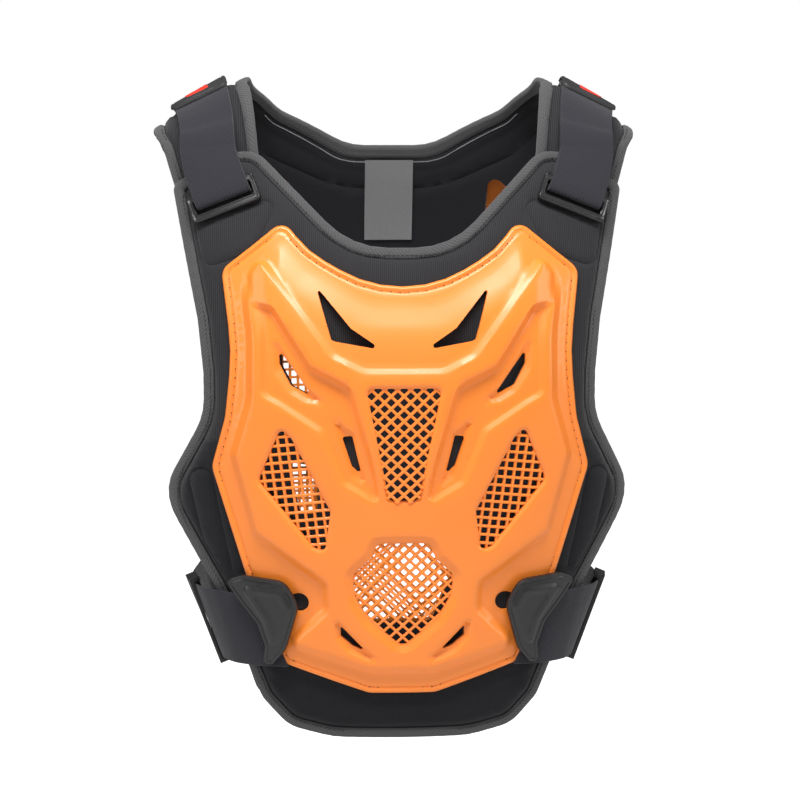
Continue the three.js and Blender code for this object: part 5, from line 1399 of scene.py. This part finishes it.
for name, corners, place in (("chest", pad_corners, on_chest), ("back", sheet_corners, on_sheet)):
    seam = closed(rounded(corners, -SEAM_PLACE))
    threads(name + "_edge_stitches", seam, EDGE_HIGH + THREAD_RISE, place, *EDGE_STITCH, THREAD, "tape")
neck_seam = resampled(rounded(sheet_corners, -NECK_ROW), 2.0)
at_neck = np.abs(neck_seam[:, 0]) < NECK_HALF
at_neck &= (neck_seam[:, 1] < NECK_HIGH) & (neck_seam[:, 1] > NECK_LOW)
first_off = int(np.argmin(at_neck))
neck_seam = np.roll(neck_seam, -first_off, axis=0)[np.roll(at_neck, -first_off)]
threads("neck_seam_stitches", neck_seam, NECK_LEVEL, on_sheet, *NECK_STITCH, PALE_THREAD, "tape")
for name, corners, flange, place in (
    ("chest_shell", shell_corners, FLANGE, on_chest),
    ("back_shell", back_shell_corners, BACK_FLANGE, on_sheet),
):
    seam, level = closed(rounded(corners, -GROOVE_PLACE)), flange - GROOVE_FLOOR
    threads(name + "_stitches", seam, level, place, *SHELL_STITCH, SHELL_THREAD, "shell")
    # dark beads at the needle holes: painted shade
    threads(name + "_painted_hole_shades", seam, level, place, *HOLE_SHADE_BEADS, HOLE_SHADE_PAINT, "shell")

# %% [markdown]
# ## Studio and camera
# A pale floor lies below the protector, which its wearer's shoulders would hold up. One long soft
# light hangs above and in front, a wide weak one fills from far in front, and two stand at the
# sides. The camera looks slightly down, a little from the left, with a long lens.

# %% Studio
FLOOR_DROP = 0.62
FLOOR_SIZE = 12.0
WORLD_LIGHT = 0.13
FLOOR_GLOW = 0.06
FLOOR_WHITE = 0.97


def make_floor():
    half = FLOOR_SIZE / 2
    mesh = bpy.data.meshes.new("studio_floor")
    corners = [(x, y, -FLOOR_DROP) for x, y, _ in rectangle(-half, -half, half, half, 0)]
    mesh.from_pydata(corners, [], [(0, 1, 2, 3)])
    floor = in_scene("studio_floor", mesh)
    paint = new_material(
        "floor_paint", (0.86, 0.86, 0.86), 0.9, Emission_Color=(1, 1, 1, 1), Emission_Strength=FLOOR_GLOW
    )
    seen = add_node(paint, "ShaderNodeLightPath").outputs["Is Camera Ray"]
    glow = mixed(paint, seen, FLOOR_GLOW, FLOOR_WHITE)
    paint.node_tree.links.new(glow, paint.node_tree.nodes["Principled BSDF"].inputs["Emission Strength"])
    speckle = add_node(paint, "ShaderNodeTexNoise", {"Vector": object_place(paint)}, Scale=3.0, Detail=2.0)
    dressed(paint, mixed(paint, speckle.outputs["Fac"], (0.84, 0.84, 0.84), (0.88, 0.88, 0.88)))
    mesh.materials.append(paint)


def add_light(name, place, target, size, watts):
    lamp = bpy.data.lights.new(name, "AREA")
    lamp.shape = "RECTANGLE"
    lamp.size, lamp.size_y = size
    lamp.energy = watts
    light = in_scene(name, lamp)
    light.location = place
    light.rotation_euler = (Vector(target) - Vector(place)).to_track_quat("-Z", "Y").to_euler()


make_floor()
world = bpy.data.worlds.new("studio_air")
world.use_nodes = True
air = world.node_tree
soft_air = air.nodes["Background"]
soft_air.inputs["Color"].default_value = (1, 1, 1, 1)
soft_air.inputs["Strength"].default_value = WORLD_LIGHT
white_backdrop = air.nodes.new("ShaderNodeBackground")
seen = air.nodes.new("ShaderNodeLightPath")
either = air.nodes.new("ShaderNodeMixShader")
air.links.new(seen.outputs["Is Camera Ray"], either.inputs[0])
air.links.new(soft_air.outputs[0], either.inputs[1])
air.links.new(white_backdrop.outputs[0], either.inputs[2])
air.links.new(either.outputs[0], air.nodes["World Output"].inputs["Surface"])
white_backdrop.inputs["Color"].default_value = (1, 1, 1, 1)
bpy.context.scene.world = world
bpy.context.scene.view_settings.view_transform = "Standard"
CENTRE = (0, 0, -0.22)
add_light("top_softbox", (-0.1, -0.66, 0.88), CENTRE, (1.0, 0.35), 23)
add_light("front_fill", (-0.3, -2.6, 0.7), CENTRE, (2.2, 1.2), 9)
add_light("left_softbox", (-1.6, -0.7, 0.1), CENTRE, (0.35, 1.1), 6)
add_light("right_softbox", (1.6, -0.7, 0.2), CENTRE, (0.35, 1.1), 7)

# %% Camera
CAMERA_TURN, CAMERA_RISE, CAMERA_DISTANCE = math.radians(3.2), math.radians(6), 1.8
CAMERA_TARGET = Vector((0, -0.125, -0.212))
CAMERA_LENS, CAMERA_SHIFT = 115.7, -0.0044

lens = bpy.data.cameras.new("camera")
lens.lens = CAMERA_LENS
lens.sensor_width = 36
lens.shift_x = CAMERA_SHIFT
camera = in_scene("camera", lens)
level_reach = math.cos(CAMERA_RISE)
direction = Vector((
    -math.sin(CAMERA_TURN) * level_reach, -math.cos(CAMERA_TURN) * level_reach, math.sin(CAMERA_RISE),
))
camera.location = CAMERA_TARGET + direction * CAMERA_DISTANCE
camera.rotation_euler = (-direction).to_track_quat("-Z", "Y").to_euler()
bpy.context.scene.camera = camera
